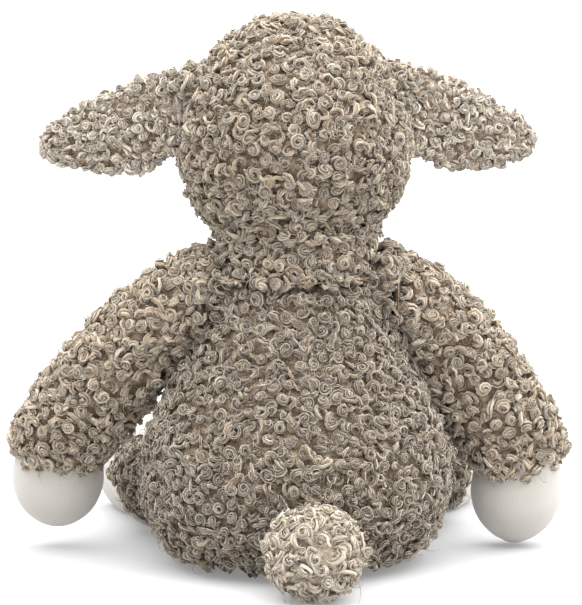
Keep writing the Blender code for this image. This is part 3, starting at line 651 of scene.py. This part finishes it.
def tube_faces(count, rings, sides):
    """Faces, end faces and UVs of tubes: corner c of ring r of tube n has the number (n rings + r) sides + c.
    The first UV goes along a tube and the second round it."""
    ring = np.arange(rings - 1)[:, None]
    corner = np.arange(sides)[None, :]
    after = (corner + 1) % sides
    near = ring * sides
    quads = np.stack([near + corner, near + sides + corner, near + sides + after, near + after], axis=-1)
    first = np.arange(count)[:, None, None] * (rings * sides)
    ends = np.stack([np.arange(sides), (rings - 1) * sides + np.arange(sides)[::-1]])
    row = ring + 0 * corner
    column = corner + 0 * ring
    u = np.stack([row, row + 1, row + 1, row], axis=-1)
    v = np.stack([column, column, column + 1, column + 1], axis=-1)
    uv = np.stack([u / (rings - 1), v / sides], axis=-1).reshape(1, -1, 2)
    end_uv = np.zeros((count, 2 * sides, 2))
    end_uv[:, sides:, 0] = 1
    uv = np.concatenate([np.repeat(uv, count, axis=0).reshape(-1, 2), end_uv.reshape(-1, 2)])
    return (quads.reshape(1, -1, 4) + first).reshape(-1, 4), (ends[None] + first).reshape(-1, sides), uv


def tube_piece(name, corners, look, tone, unshaded_share):
    """One piece from many tubes: none of it goes below the floor."""
    count, rings, sides = corners.shape[:3]
    quads, ends, uv = tube_faces(count, rings, sides)
    points = above_floor(corners.reshape(-1, 3).copy())
    values = {"tone": np.repeat(tone, rings * sides), "unshaded_share": np.repeat(unshaded_share.reshape(-1), sides)}
    return new_piece(name, points, quads, look, ends, uv, values)


def in_pieces(name, corners, look, tone, unshaded_share):
    """Tubes as one piece, or as many as their triangles need, from the lowest up."""
    count, rings, sides = corners.shape[:3]
    parts = max(1, math.ceil(count * rings * sides * 2 / PIECE_TRIANGLES))
    pieces = []
    for part, chosen in enumerate(np.array_split(np.argsort(corners[:, 0, 0, 2]), parts)):
        title = f"{name}_{part + 1}" if parts > 1 else name
        pieces.append(tube_piece(title, corners[chosen], look, tone[chosen], unshaded_share[chosen]))
    return pieces


def wound(lines, axis, thickness, strands, twist):
    """Strands wound round each line: at t, strand k of n lies at the angle k tau / n + twist t round the
    line, as far out as a share of the lock's thickness."""
    out, up = frames(lines, axis)
    t = np.linspace(0, 1, lines.shape[1])
    off = thickness * STRAND_OUT
    angles = [strand * math.tau / strands + twist * t for strand in range(strands)]
    return np.concatenate([round_lines(lines, out, up, off, angle) for angle in angles])


def curls(name, kind, places, normals, size, look, rng):
    """Curls seated on a coat, with the lines, axes and thickness that their fibres need. A lock's thickness
    grows from its ends as a power of a sine, and rises and falls a little as a sine along it."""
    lines, axis, height = curl_lines(kind, places, normals, size, rng)
    count = len(places)
    strands = kind["strands"]
    t = np.linspace(0, 1, kind["rings"])[None, :]
    fat = size**0.5 * rng.uniform(*kind["thickness"], (count, 1))
    wave = rng.uniform(*PINCH_TURNS, (count, 1)) * math.tau * t + rng.uniform(0, math.tau, (count, 1))
    full = np.sin(math.pi * np.clip(t * MIDDLE_RUN + MIDDLE_START, 0, 1)) ** MIDDLE_POWER
    thickness = fat * (1 + PINCH * np.sin(wave)) * (END_SHARE + MIDDLE_SHARE * full)
    twist = rng.uniform(-TWIST, TWIST, (count, 1))
    tone = rng.random(count)
    # Painted shade: 0 where the curl sits low in the coat and is painted darkest, 1 where it keeps its own
    # colour
    unshaded_share = np.clip((height - SHADE_FADE_FROM) / SHADE_FADE_RUN, 0, 1)
    middles = wound(lines, axis, thickness, strands, twist + rng.uniform(0, MORE_TWIST, (count, 1)))
    tones = np.clip(np.tile(tone, strands) + rng.uniform(-TONE_APART, TONE_APART, count * strands), 0, 1)
    fine = np.tile(thickness, (strands, 1)) * kind["strand_share"]
    corners = tubes(middles, np.tile(axis, (strands, 1)), fine, kind["sides"])
    return in_pieces(name, corners, look, tones, np.tile(unshaded_share, (strands, 1))), (lines, axis, thickness)


def fibres(name, lines, axis, thickness, each, look, rng):
    """Fine fibres along curls, a little off their surface: a fibre's place round its curl drifts evenly with
    t, and it leaves the curl as t cubed."""
    picked = np.repeat(np.arange(len(lines)), rng.integers(each[0], each[1] + 1, len(lines)))
    count = len(picked)
    lines, axis, thickness = lines[picked], axis[picked], thickness[picked]
    out, up = frames(lines, axis)
    t = np.linspace(0, 1, lines.shape[1])[None, :]
    start = math.pi * rng.uniform(*FIBRE_START, (count, 1))
    drift = start + rng.uniform(-FIBRE_DRIFT, FIBRE_DRIFT, (count, 1)) * t
    off = thickness * (rng.uniform(*FIBRE_OFF, (count, 1)) + rng.uniform(0, FIBRE_LEAVE, (count, 1)) * t**3)
    lines = round_lines(lines, out, up, off, drift)[:, 1:-1]
    fine = rng.uniform(*FIBRE_THICKNESS, (count, 1)) * np.ones((1, lines.shape[1]))
    corners = tubes(lines, axis, fine, FIBRE_SIDES)
    return in_pieces(name, corners, look, rng.random(count), np.ones(fine.shape))


def stray_hairs(name, places, normals, length, look, rng):
    """Fine hairs that stand off the curls, each bent into part of a circle: its angle grows evenly from the
    root, and it leans aside from the normal."""
    count = len(places)
    t = np.linspace(0, 1, HAIR_RINGS)[None, :]
    bend = rng.uniform(*HAIR_BEND, (count, 1))
    size = length * rng.uniform(*HAIR_SIZE, (count, 1)) / bend
    across, beside = square_to(normals, rng)
    lean = rng.uniform(*HAIR_LEAN, (count, 1))
    up = normals * np.cos(lean) + across * np.sin(lean)
    side = unit(beside + HAIR_ASIDE * rng.normal(size=normals.shape))
    x = size * (1 - np.cos(bend * t))
    y = size * np.sin(bend * t)
    root = places + normals * rng.uniform(*HAIR_ROOT, (count, 1))
    lines = root[:, None] + y[..., None] * up[:, None] + x[..., None] * side[:, None]
    fine = HAIR_THICKNESS * (1 - HAIR_THINNING * t) * np.ones((count, 1))
    corners = tubes(lines, unit(np.cross(up, side)), fine, HAIR_SIDES)
    return in_pieces(name, corners, look, rng.random(count), np.ones((count, HAIR_RINGS)))


def copied(name, nodes, look):
    """One object with copies of the nodes' meshes, their doubled corners merged."""
    points, triangles = joined(nodes)
    points, merged = np.unique(points.round(MERGE_PLACES), axis=0, return_inverse=True)
    mesh = bpy.data.meshes.new(name)
    mesh.from_pydata(points.tolist(), [], merged.ravel()[triangles].tolist())
    mesh.validate()
    mesh.materials.append(look)
    return linked(name, mesh)


def applied(piece):
    """The piece with its modifiers made part of its mesh."""
    graph = bpy.context.evaluated_depsgraph_get()
    mesh = bpy.data.meshes.new_from_object(piece.evaluated_get(graph))
    old = piece.data
    piece.modifiers.clear()
    piece.data = mesh
    bpy.data.meshes.remove(old)
    mesh.polygons.foreach_set("use_smooth", np.ones(len(mesh.polygons), bool))
    return piece


def remeshed(piece, voxel):
    rounding = piece.modifiers.new("remesh", "REMESH")
    rounding.mode = "VOXEL"
    rounding.voxel_size = voxel
    return applied(piece)


def point_array(piece):
    return rows_of(piece.data.vertices, "co")


def set_points(piece, points):
    piece.data.vertices.foreach_set("co", points.ravel())
    piece.data.update()


def drawn(piece, inset):
    """Each point moves in along its normal by the inset."""
    normals = rows_of(piece.data.vertices, "normal")
    set_points(piece, above_floor(point_array(piece) - normals * inset))
    return piece


def skin(name, nodes, look, inset=SKIN_INSET, voxel=SKIN_VOXEL):
    """The cloth below the curls, and the filling in it, as one closed form."""
    return drawn(remeshed(copied(name, nodes, look), voxel), inset)


def puffed(piece):
    """Cloth pressed out by its filling, no point further than the cap."""
    before = point_array(piece)
    cloth = piece.modifiers.new("cloth", "CLOTH")
    cloth.settings.use_pressure = True
    cloth.settings.uniform_pressure_force = CLOTH_PRESSURE
    cloth.settings.effector_weights.gravity = 0
    cloth.point_cache.frame_start = 1
    cloth.point_cache.frame_end = CLOTH_STEPS
    for step in range(1, CLOTH_STEPS + 1):
        bpy.context.scene.frame_set(step)
    applied(piece)
    moved = point_array(piece) - before
    far = np.linalg.norm(moved, axis=1, keepdims=True)
    set_points(piece, above_floor(before + moved * np.minimum(1, CLOTH_CAP / np.maximum(far, TINY))))
    bpy.context.scene.frame_set(1)
    return piece


def stuffed(name, nodes, look):
    """Smooth cloth blown up a little by its filling, from the CAD form drawn in, then rounded once."""
    piece = puffed(drawn(remeshed(copied(name, nodes, look), LINING_VOXEL), LINING_INSET))
    smoother = piece.modifiers.new("rounding", "SUBSURF")
    smoother.levels = 1
    smoother.render_levels = 1
    return applied(piece)


def smooth_run(stations, rings):
    """Rows of numbers between the given rows, on a smooth cubic through them: at t between the rows b and c,
    with a before and d after them, b + t/2 (c - a + t (2a - 5b + 4c - d + t (3(b - c) + d - a)))."""
    share = np.linspace(0, len(stations) - 1, rings)
    index = np.clip(share.astype(int), 0, len(stations) - 2)
    t = (share - index)[:, None]
    padded = np.concatenate([2 * stations[:1] - stations[1:2], stations, 2 * stations[-1:] - stations[-2:-1]])
    a, b, c, d = (padded[index + k] for k in range(4))
    return b + 0.5 * t * (c - a + t * (2 * a - 5 * b + 4 * c - d + t * (3 * (b - c) + d - a)))


def swell(name, line, halves, side, look, domes, rings=SWELL_RINGS, sides=SWELL_SIDES, way=None):
    """A closed form about a line: at each of its points an ellipse with the given half sizes. Between the
    given points the line and the half sizes follow a smooth cubic. Each end closes as part of a circle, as
    far out as its dome. The ellipses lie square to the line, or to the given way."""
    at = smooth_run(np.concatenate([np.array(line, float), np.array(halves, float)], axis=1), rings)
    centre = at[:, :3]
    size = at[:, 3:]
    if way is None:
        along = unit(np.gradient(centre, axis=0))
    else:
        along = np.tile(np.array(way, float), (rings, 1))
    turn = np.linspace(0, math.pi / 2, CAP_RINGS, endpoint=False)[1:, None]
    head = centre[-1] + along[-1] * domes[1] * np.sin(turn)
    foot = centre[0] - along[0] * domes[0] * np.sin(turn[::-1])
    centre = np.concatenate([foot, centre, head])
    size = np.concatenate([size[0] * np.cos(turn[::-1]), size, size[-1] * np.cos(turn)])
    along = np.concatenate([np.repeat(along[:1], len(foot), 0), along, np.repeat(along[-1:], len(head), 0)])
    rings = len(centre)
    across = unit(side - along * (along @ np.array(side, float))[:, None])
    depth = np.cross(along, across)
    turn = np.linspace(0, math.tau, sides, endpoint=False)
    ring = (
        centre[:, None]
        + np.cos(turn)[None, :, None] * (size[:, :1] * across)[:, None]
        + np.sin(turn)[None, :, None] * (size[:, 1:] * depth)[:, None]
    )
    foot_tip = foot[0] - along[0] * domes[0] * TIP_SHARE
    head_tip = head[-1] + along[-1] * domes[1] * TIP_SHARE
    points = above_floor(np.concatenate([ring.reshape(-1, 3), foot_tip[None], head_tip[None]]))
    near = np.arange(rings - 1)[:, None] * sides
    corner = np.arange(sides)[None, :]
    after = (corner + 1) % sides
    quads = np.stack([near + corner, near + after, near + sides + after, near + sides + corner], -1)
    poles = rings * sides
    last = (rings - 1) * sides
    start = np.stack([np.full(sides, poles), after[0], corner[0]], -1)
    end = np.stack([np.full(sides, poles + 1), last + corner[0], last + after[0]], -1)
    return new_piece(name, points, quads.reshape(-1, 4), look, np.concatenate([start, end]))


def fleece(stem, title, faces, test, size, look, rng, hairs=HAIRS):
    """Loops, rosettes, their fibres and stray hairs over faces. The test says which places may have a
    curl."""
    pieces = []
    for kind, spacing, each, name in (
        (LOOP, LOOP_SPACING, LOOP_FIBRES, "loops"),
        (ROSETTE, ROSETTE_SPACING, ROSETTE_FIBRES, "curls"),
    ):
        places, facing = scattered(*faces, spacing * size, rng)
        free = test(places, facing)
        places, facing = fuller(places[free], stem), facing[free]
        more, shape = curls(f"{title}_{name}", kind, places, facing, size, look, rng)
        pieces += more + fibres(f"{title}_{name}_fibres", *shape, each, LIT_HAIR, rng)
    share, length = hairs
    picked = rng.random(len(places)) < share
    return pieces + stray_hairs(f"{title}_hairs", places[picked], facing[picked], length, LIT_HAIR, rng)


def dressed(stem, pieces):
    """Gives fleece the body that it moves with; the neck's fleece stays fixed where it is."""
    for piece in pieces:
        "tail_fleece" if stem == "tail" else "fleece"
        if stem == "neck":
            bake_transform(piece)
        else:
            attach(piece, stem)


# Looks

# One fleece in lit and shaded copies: the body's and legs' darker as painted shade, and the arms' and ears'
# lighter as painted light falling on them from above
FLEECE = curl_look("curled_fleece", shade(94, 73, 52), shade(170, 148, 120), shade(206, 189, 165))
SHADED_BODY_FLEECE = curl_look("shaded_body_fleece", shade(68, 51, 35), shade(128, 108, 84), shade(160, 142, 118))
LIT_EAR_FLEECE = curl_look("lit_ear_fleece", shade(136, 116, 94), shade(220, 206, 186), shade(246, 239, 228))
LIT_ARM_FLEECE = curl_look("lit_arm_fleece", shade(122, 100, 76), shade(196, 175, 147), shade(214, 198, 175))
TAIL_FLEECE = curl_look("tail_fleece", shade(170, 155, 135), shade(184, 170, 150), shade(204, 193, 177))
# Fibres and stray hairs in a lighter copy of the fleece: painted highlight where fine fibres catch the light
LIT_HAIR = curl_look("lit_stray_hair", shade(156, 140, 118), shade(200, 187, 168), shade(226, 216, 200))
# Dark brown cloth under the curls: painted shade for the gaps between them
SHADED_BACKING = shaded_backing_look("shaded_fleece_backing", shade(80, 63, 46), shade(168, 151, 129))
SHADED_TAIL_BACKING = shaded_backing_look("shaded_tail_backing", shade(156, 141, 121), shade(196, 185, 169))
HIDE = cloth_look("brushed_hide", shade(160, 155, 147), shade(187, 183, 176))
LINING = cloth_look("ear_lining_cloth", shade(166, 153, 143), shade(200, 188, 179))
POUCH = pouch_look()
BEAD = bead_look()
WASHER = washer_look()
THREAD = thread_look()

# Coats: body, CAD nodes, nodes near them in the body, nodes beside them in others, size of the curls, and
# look

COAT_SEED = 100
SIDES = ("left", "right")
BODY_NODES = ("body_back_left", "body_back_right", "body_belly", "body_base")
BODY_NEIGHBOURS = ("arm_sleeve_left", "arm_sleeve_right", "neck_sleeve")
HEAD_COATS = ("head_coat_left", "head_coat_right")
COATS = [
    ("body", BODY_NODES, ("body_filling",), BODY_NEIGHBOURS, 1.0, SHADED_BODY_FLEECE),
    ("head", HEAD_COATS, ("head_filling", "face_hide"), ("neck_sleeve",), 1.0, FLEECE),
    ("neck", ("neck_sleeve",), ("neck_filling", "head_filling"), BODY_NODES, 0.95, FLEECE),
    ("tail", ("tail_coat",), ("tail_filling",), BODY_NODES, 1.1, TAIL_FLEECE),
]
LIMB_COATS = (
    ("arm", "arm_sleeve", ("arm_filling", "hand"), 1.0, LIT_ARM_FLEECE),
    ("leg", "leg_sleeve", ("leg_filling", "foot"), 1.0, SHADED_BODY_FLEECE),
    ("ear", "ear_back", ("ear_lining",), 0.8, LIT_EAR_FLEECE),
)
for word in SIDES:
    for limb, coat, inner, size, look in LIMB_COATS:
        near_nodes = tuple(f"{node}_{word}" for node in inner)
        COATS.append((f"{limb}_{word}", (f"{coat}_{word}",), near_nodes, BODY_NODES, size, look))
for number, (stem, nodes, near_nodes, beside_nodes, size, look) in enumerate(COATS):
    rng = np.random.default_rng(COAT_SEED + number)
    near = tree_of(nodes + near_nodes)
    beside = tree_of(beside_nodes)

    def free(places, facing):
        kept = clear(places, facing, near, FREE_REACH) & clear(places, facing, beside, BESIDE_REACH)
        if stem in HEEL_BACK:
            kept &= (places[:, 2] > HEEL_TOP) | (places[:, 1] > HEEL_BACK[stem])
        return kept

    for node in nodes:
        faces = outer_faces(*joined((node,)), near)
        if len(faces[0]):
            hairs = TAIL_HAIRS if stem == "tail" else HAIRS
            dressed(stem, fleece(stem, node, faces, free, size, look, rng, hairs))

# Tufts that fill the seams between pieces of the coat: the body they ride on, nodes they stay out of, the
# middle and half sizes of an egg that they sit on, and the pole of the egg that no curl faces

TUFT_SEED = 200
TUFT_STATIONS = 9
TUFT_RINGS = 16
TUFT_SIDES = 40
TUFT_DOME = 0.0006
RIM_LEAN = 0.75
TUFTS = {
    "collar_tuft": ("body", HEAD_COATS, (0, -0.002, 0.1375), (0.0405, 0.0395, 0.0060), (0, 0, 1)),
    "head_rim_tuft": ("head", ("face_hide",), (0, -0.002, 0.1585), (0.0382, 0.0382, 0.0060), (0, 0, 1)),
}
for word, sign in zip(SIDES, (1, -1)):
    TUFTS |= {
        f"shoulder_tuft_{word}": (
            "body", HEAD_COATS, (sign * 0.0425, -0.003, 0.1395), (0.0100, 0.0200, 0.0115), (0, 0, 0)
        ),
        f"ear_root_tuft_{word}": (
            "head",
            (f"ear_back_{word}",),
            (sign * 0.0460, -0.004, 0.2270),
            (0.0100, 0.0110, 0.0085),
            (0, 0, 0),
        ),
        f"armhole_tuft_{word}": (
            f"arm_{word}", HEAD_COATS, (sign * 0.0460, -0.003, 0.1275), (0.0050, 0.0212, 0.0212), (1, 0, 0)
        ),
    }
for number, (name, (stem, nodes, middle, halves, pole)) in enumerate(TUFTS.items()):
    rng = np.random.default_rng(TUFT_SEED + number)
    turn = np.linspace(-1, 1, TUFT_STATIONS)[1:-1] * math.pi / 2
    line = [(middle[0], middle[1], middle[2] + halves[2] * math.sin(angle)) for angle in turn]
    sizes = [(halves[0] * math.cos(angle), halves[1] * math.cos(angle)) for angle in turn]
    pad = swell(name, line, sizes, (1, 0, 0), SHADED_BACKING, (TUFT_DOME, TUFT_DOME), TUFT_RINGS, TUFT_SIDES)
    near = tree_of(nodes)

    def free(places, facing):
        return clear(places, facing, near, BESIDE_REACH) & (np.abs(facing @ np.array(pole)) < RIM_LEAN)

    faces = outer_faces(*arrays_of(pad.data), near, BESIDE_REACH)
    dressed(stem, [drawn(pad, SKIN_INSET), *fleece(stem, name, faces, free, 1.0, FLEECE, rng)])

# Skins below the curls: piece, the CAD nodes that it stands for, body, look and slot

SKINS = [
    ("body_skin", BODY_NODES + ("body_filling",), "body", SHADED_BACKING, "fleece"),
    ("head_skin", HEAD_COATS + ("head_filling",), "head", SHADED_BACKING, "fleece"),
    ("tail_skin", ("tail_coat", "tail_filling"), "tail", SHADED_TAIL_BACKING, "tail_fleece"),
    ("neck_skin", ("neck_sleeve", "neck_filling"), "neck", SHADED_BACKING, "fleece"),
]
for word in SIDES:
    for limb in ("arm", "leg"):
        nodes = (f"{limb}_sleeve_{word}", f"{limb}_filling_{word}")
        SKINS.append((f"{limb}_skin_{word}", nodes, f"{limb}_{word}", SHADED_BACKING, "fleece"))
for name, nodes, body, look, slot in SKINS:
    piece = skin(name, nodes, look)
    set_points(piece, fuller(point_array(piece), body))
    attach(piece, body)
    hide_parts(*nodes)
for word in SIDES:
    piece = skin(f"ear_skin_{word}", (f"ear_back_{word}",), SHADED_BACKING, EAR_INSET, EAR_VOXEL)
    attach(piece, f"ear_{word}")
    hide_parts(f"ear_back_{word}")

# Smooth cloth. A hand or foot goes from its start at the cuff to its end: each station has its share of the
# way and its shares of the half sizes. It is then turned about its joint, by degrees about an axis.

ENDS = {
    "hand": {
        "joint": (0.0420, -0.003, 0.1275),
        "start": (0.1090, -0.029, 0.0430),
        "end": (0.1092, -0.041, 0.0065),
        "halves": (0.0190, 0.0205),
        "shares": (
            (-0.25, 0.88, 0.88),
            (0.12, 1.02, 1.02),
            (0.44, 1.06, 1.06),
            (0.72, 0.90, 0.90),
            (0.92, 0.60, 0.60),
            (1.02, 0.32, 0.32),
        ),
        "side": (0, -1, 0),
        "turns": {"left": (-8.5, "X"), "right": (3, "X")},
        "body": "arm",
        "look": HIDE,
        "slot": "hide",
        "domes": (0.003, 0.0016),
    },
    "foot": {
        "joint": (0.0500, -0.0520, 0.0310),
        "start": (0.0670, -0.1140, 0.0216),
        "end": (0.0770, -0.1600, 0.0222),
        "halves": (0.0238, 0.0285),
        "shares": (
            (-0.60, 0.90, 0.72),
            (0.00, 0.92, 0.76),
            (0.34, 0.97, 0.93),
            (0.80, 1.02, 1.00),
            (0.925, 0.90, 0.90),
        ),
        "side": (1, 0, 0),
        "turns": {"left": (-8, "Z"), "right": (-8, "Z")},
        "body": "leg",
        "look": HIDE,
        "slot": "hide",
        "domes": (0.003, 0.001),
    },
}
ENDS["sole"] = ENDS["foot"] | {
    "shares": ((0.93, 0.88, 0.88), (0.98, 0.80, 0.80), (1.03, 0.64, 0.64)),
    "look": LINING,
    "slot": "lining",
    "domes": (0.001, 0.0016),
}
SEAM_RINGS = 161
SEAM_SIDES = 6
SEAM_STITCHES = 40
SEAM_PUCKER = 0.25
SEAM_THICKNESS = 0.0006
SEAM_OUT = 1.005


def limb_line(word, form):
    """The stations of a hand, foot or sole and its half sizes there: on the limb's own side, then turned
    about its joint into the pose at rest."""
    mirror = np.array((1 if word == "left" else -1, 1, 1))
    joint, start, end = (mirror * form[key] for key in ("joint", "start", "end"))
    degrees, axis = form["turns"][word]
    turn = np.array(Matrix.Rotation(math.radians(degrees), 3, axis))
    shares = np.array(form["shares"])
    line = [joint + turn @ (start + (end - start) * place - joint) for place in shares[:, 0]]
    return line, shares[:, 1:] * form["halves"]


def sole_seam(word):
    """The piped seam round a sole: a ring of cord in the plane of the sole's edge, its thickness rising and
    falling with every stitch as a sine."""
    line, halves = limb_line(word, ENDS["sole"])
    side = np.array(ENDS["sole"]["side"], float)
    along = unit(line[1] - line[0])
    across = unit(side - along * (along @ side))
    turn = np.linspace(0, math.tau, SEAM_RINGS)[:, None]
    reach = halves[0] * SEAM_OUT
    ring = line[0] + np.cos(turn) * reach[0] * across + np.sin(turn) * reach[1] * np.cross(along, across)
    fat = SEAM_THICKNESS * (1 + SEAM_PUCKER * np.sin(turn.ravel() * SEAM_STITCHES))
    corners = tubes(ring[None], along[None], fat[None], SEAM_SIDES)
    return tube_piece(f"sole_{word}_seam", corners, LINING, np.ones(1), np.ones((1, SEAM_RINGS)))


for word in SIDES:
    seam = sole_seam(word)
    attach(seam, f"leg_{word}")
    for name, form in ENDS.items():
        title = f"{name}_{word}_cloth"
        piece = puffed(swell(title, *limb_line(word, form), form["side"], form["look"], form["domes"]))
        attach(piece, f"{form['body']}_{word}")
        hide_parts(f"{name}_{word}")
    piece = stuffed(f"ear_lining_{word}_cloth", (f"ear_lining_{word}",), LINING)
    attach(piece, f"ear_{word}")
    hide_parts(f"ear_lining_{word}")

# Face: each station has its share of the length, its shares of the half width and half height, and its share
# of the drop

FACE_ROOT_Y = -0.034
FACE_LENGTH = 0.052
FACE_Z = 0.192
FACE_DROP = 0.010
FACE_HALF_WIDTH = 0.0335
FACE_HALF_HEIGHT = 0.0345
FACE_DOMES = (0.002, 0.0004)
FACE_SHARES = (
    (0.00, 1.00, 1.00, 0.0),
    (0.30, 1.00, 1.00, 0.1),
    (0.62, 0.84, 0.80, 0.5),
    (0.86, 0.68, 0.63, 0.9),
    (0.94, 0.55, 0.50, 1.0),
    (0.98, 0.38, 0.35, 1.0),
    (0.997, 0.20, 0.19, 1.0),
)
line = [
    (0, FACE_ROOT_Y - share * FACE_LENGTH, FACE_Z - drop * FACE_DROP)
    for share, _, _, drop in FACE_SHARES
]
halves = [(wide * FACE_HALF_WIDTH, high * FACE_HALF_HEIGHT) for _, wide, high, _ in FACE_SHARES]
face = puffed(swell("face_cloth", line, halves, (1, 0, 0), HIDE, FACE_DOMES, way=(0, -1, 0)))
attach(face, "head")
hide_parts("face_hide")

# Kept CAD nodes

KEPT = {
    "bead_pouch": POUCH,
    "eye_left": BEAD,
    "eye_right": BEAD,
    "eye_washer_left": WASHER,
    "eye_washer_right": WASHER,
    "nose": THREAD,
}
for name, look in KEPT.items():
    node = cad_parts[name]
    if not node.material_slots:
        node.data.materials.append(look)
    for slot in node.material_slots:
        slot.material = look

# Satin stitches over the nose, side by side, each bowed out over it: the outline is an ellipse, and each
# stitch stands out as half of one

NOSE_MIDDLE = (0, -0.0872, 0.18585)
NOSE_HALVES = (0.0061, 0.0043)
NOSE_BOW = 0.0011
NOSE_SEED = 300
OUTER_STITCH = 0.97
STITCHES = 20
STITCH_RINGS = 11
STITCH_SIDES = 6
STITCH_THICKNESS = 0.00038
STITCH_LENGTHS = (0.97, 1.03)
rng = np.random.default_rng(NOSE_SEED)
place = np.linspace(-OUTER_STITCH, OUTER_STITCH, STITCHES)[:, None] + np.zeros((1, STITCH_RINGS))
length = rng.uniform(*STITCH_LENGTHS, (STITCHES, 1))
t = np.linspace(-1, 1, STITCH_RINGS)[None, :] * np.sqrt(1 - place**2) * length
lines = np.array(NOSE_MIDDLE) + np.stack([
    NOSE_HALVES[0] * place,
    -NOSE_BOW * np.sqrt(np.clip(1 - place**2 - t**2, 0, 1)),
    NOSE_HALVES[1] * t,
], axis=-1)
outward = np.broadcast_to((0.0, -1.0, 0.0), (STITCHES, 3))
corners = tubes(lines, outward, np.full((STITCHES, STITCH_RINGS), STITCH_THICKNESS), STITCH_SIDES)
tone = rng.random(STITCHES)
stitches = tube_piece("nose_stitches", corners, THREAD, tone, np.ones((STITCHES, STITCH_RINGS)))
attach(stitches, "head")

# Stage, light and camera

FLOOR_HALF = 60.0
FLOOR_TONES = ((0.43, 0.43, 0.435, 1), (0.45, 0.45, 0.455, 1))
WHITE = (1, 1, 1, 1)
WORLD_STRENGTH = 0.36
floor_look = Look("pale_floor")
floor_look.finish(
    Base_Color=floor_look.mix(floor_look.noise(floor_look.place(), 3.0), *FLOOR_TONES),
    Roughness=0.9,
    Specular_IOR_Level=0.2,
    Emission_Color=WHITE,
    Emission_Strength=0.22,
)
floor_corners = np.array([(-1, -1, 0), (1, -1, 0), (1, 1, 0), (-1, 1, 0)]) * FLOOR_HALF
floor = new_piece("floor", floor_corners, np.array([(0, 1, 2, 3)]), floor_look.material)

world = bpy.data.worlds.new("studio")
bpy.context.scene.world = world
world.use_nodes = True
background = world.node_tree.nodes["Background"]
background.inputs["Color"].default_value = WHITE
background.inputs["Strength"].default_value = WORLD_STRENGTH

# Lights: energy, width of the sun in degrees, and the way it shines
SUNS = {
    "overhead": (3.4, 110, (0.15, -0.30, -1)),
    "top_rim": (4.7, 90, (0.05, -0.10, -1)),
    "side_left": (1.0, 80, (-1, -0.2, -0.7)),
    "side_right": (1.3, 80, (1, -0.2, -0.7)),
    "back_fill": (0.6, 100, (0.1, -1, -0.3)),
}
for name, (energy, width, shines) in SUNS.items():
    sun = bpy.data.lights.new(name, "SUN")
    sun.energy = energy
    sun.angle = math.radians(width)
    linked(name, sun).rotation_euler = Vector(shines).to_track_quat("-Z", "Y").to_euler()

bpy.context.scene.view_settings.view_transform = "Standard"

camera_data = bpy.data.cameras.new("camera")
camera_data.sensor_fit = "AUTO"
camera_data.sensor_width = SENSOR_SIZE
camera_data.lens = SENSOR_SIZE * VIEW_DISTANCE / PICTURE_HEIGHT
camera = linked("camera", camera_data)
back = Vector((
    math.sin(VIEW_AZIMUTH) * math.cos(VIEW_ELEVATION),
    -math.cos(VIEW_AZIMUTH) * math.cos(VIEW_ELEVATION),
    math.sin(VIEW_ELEVATION),
))
camera.location = Vector(VIEW_TARGET) + back * VIEW_DISTANCE
camera.rotation_euler = (-back).to_track_quat("-Z", "Y").to_euler()
bpy.context.scene.camera = camera
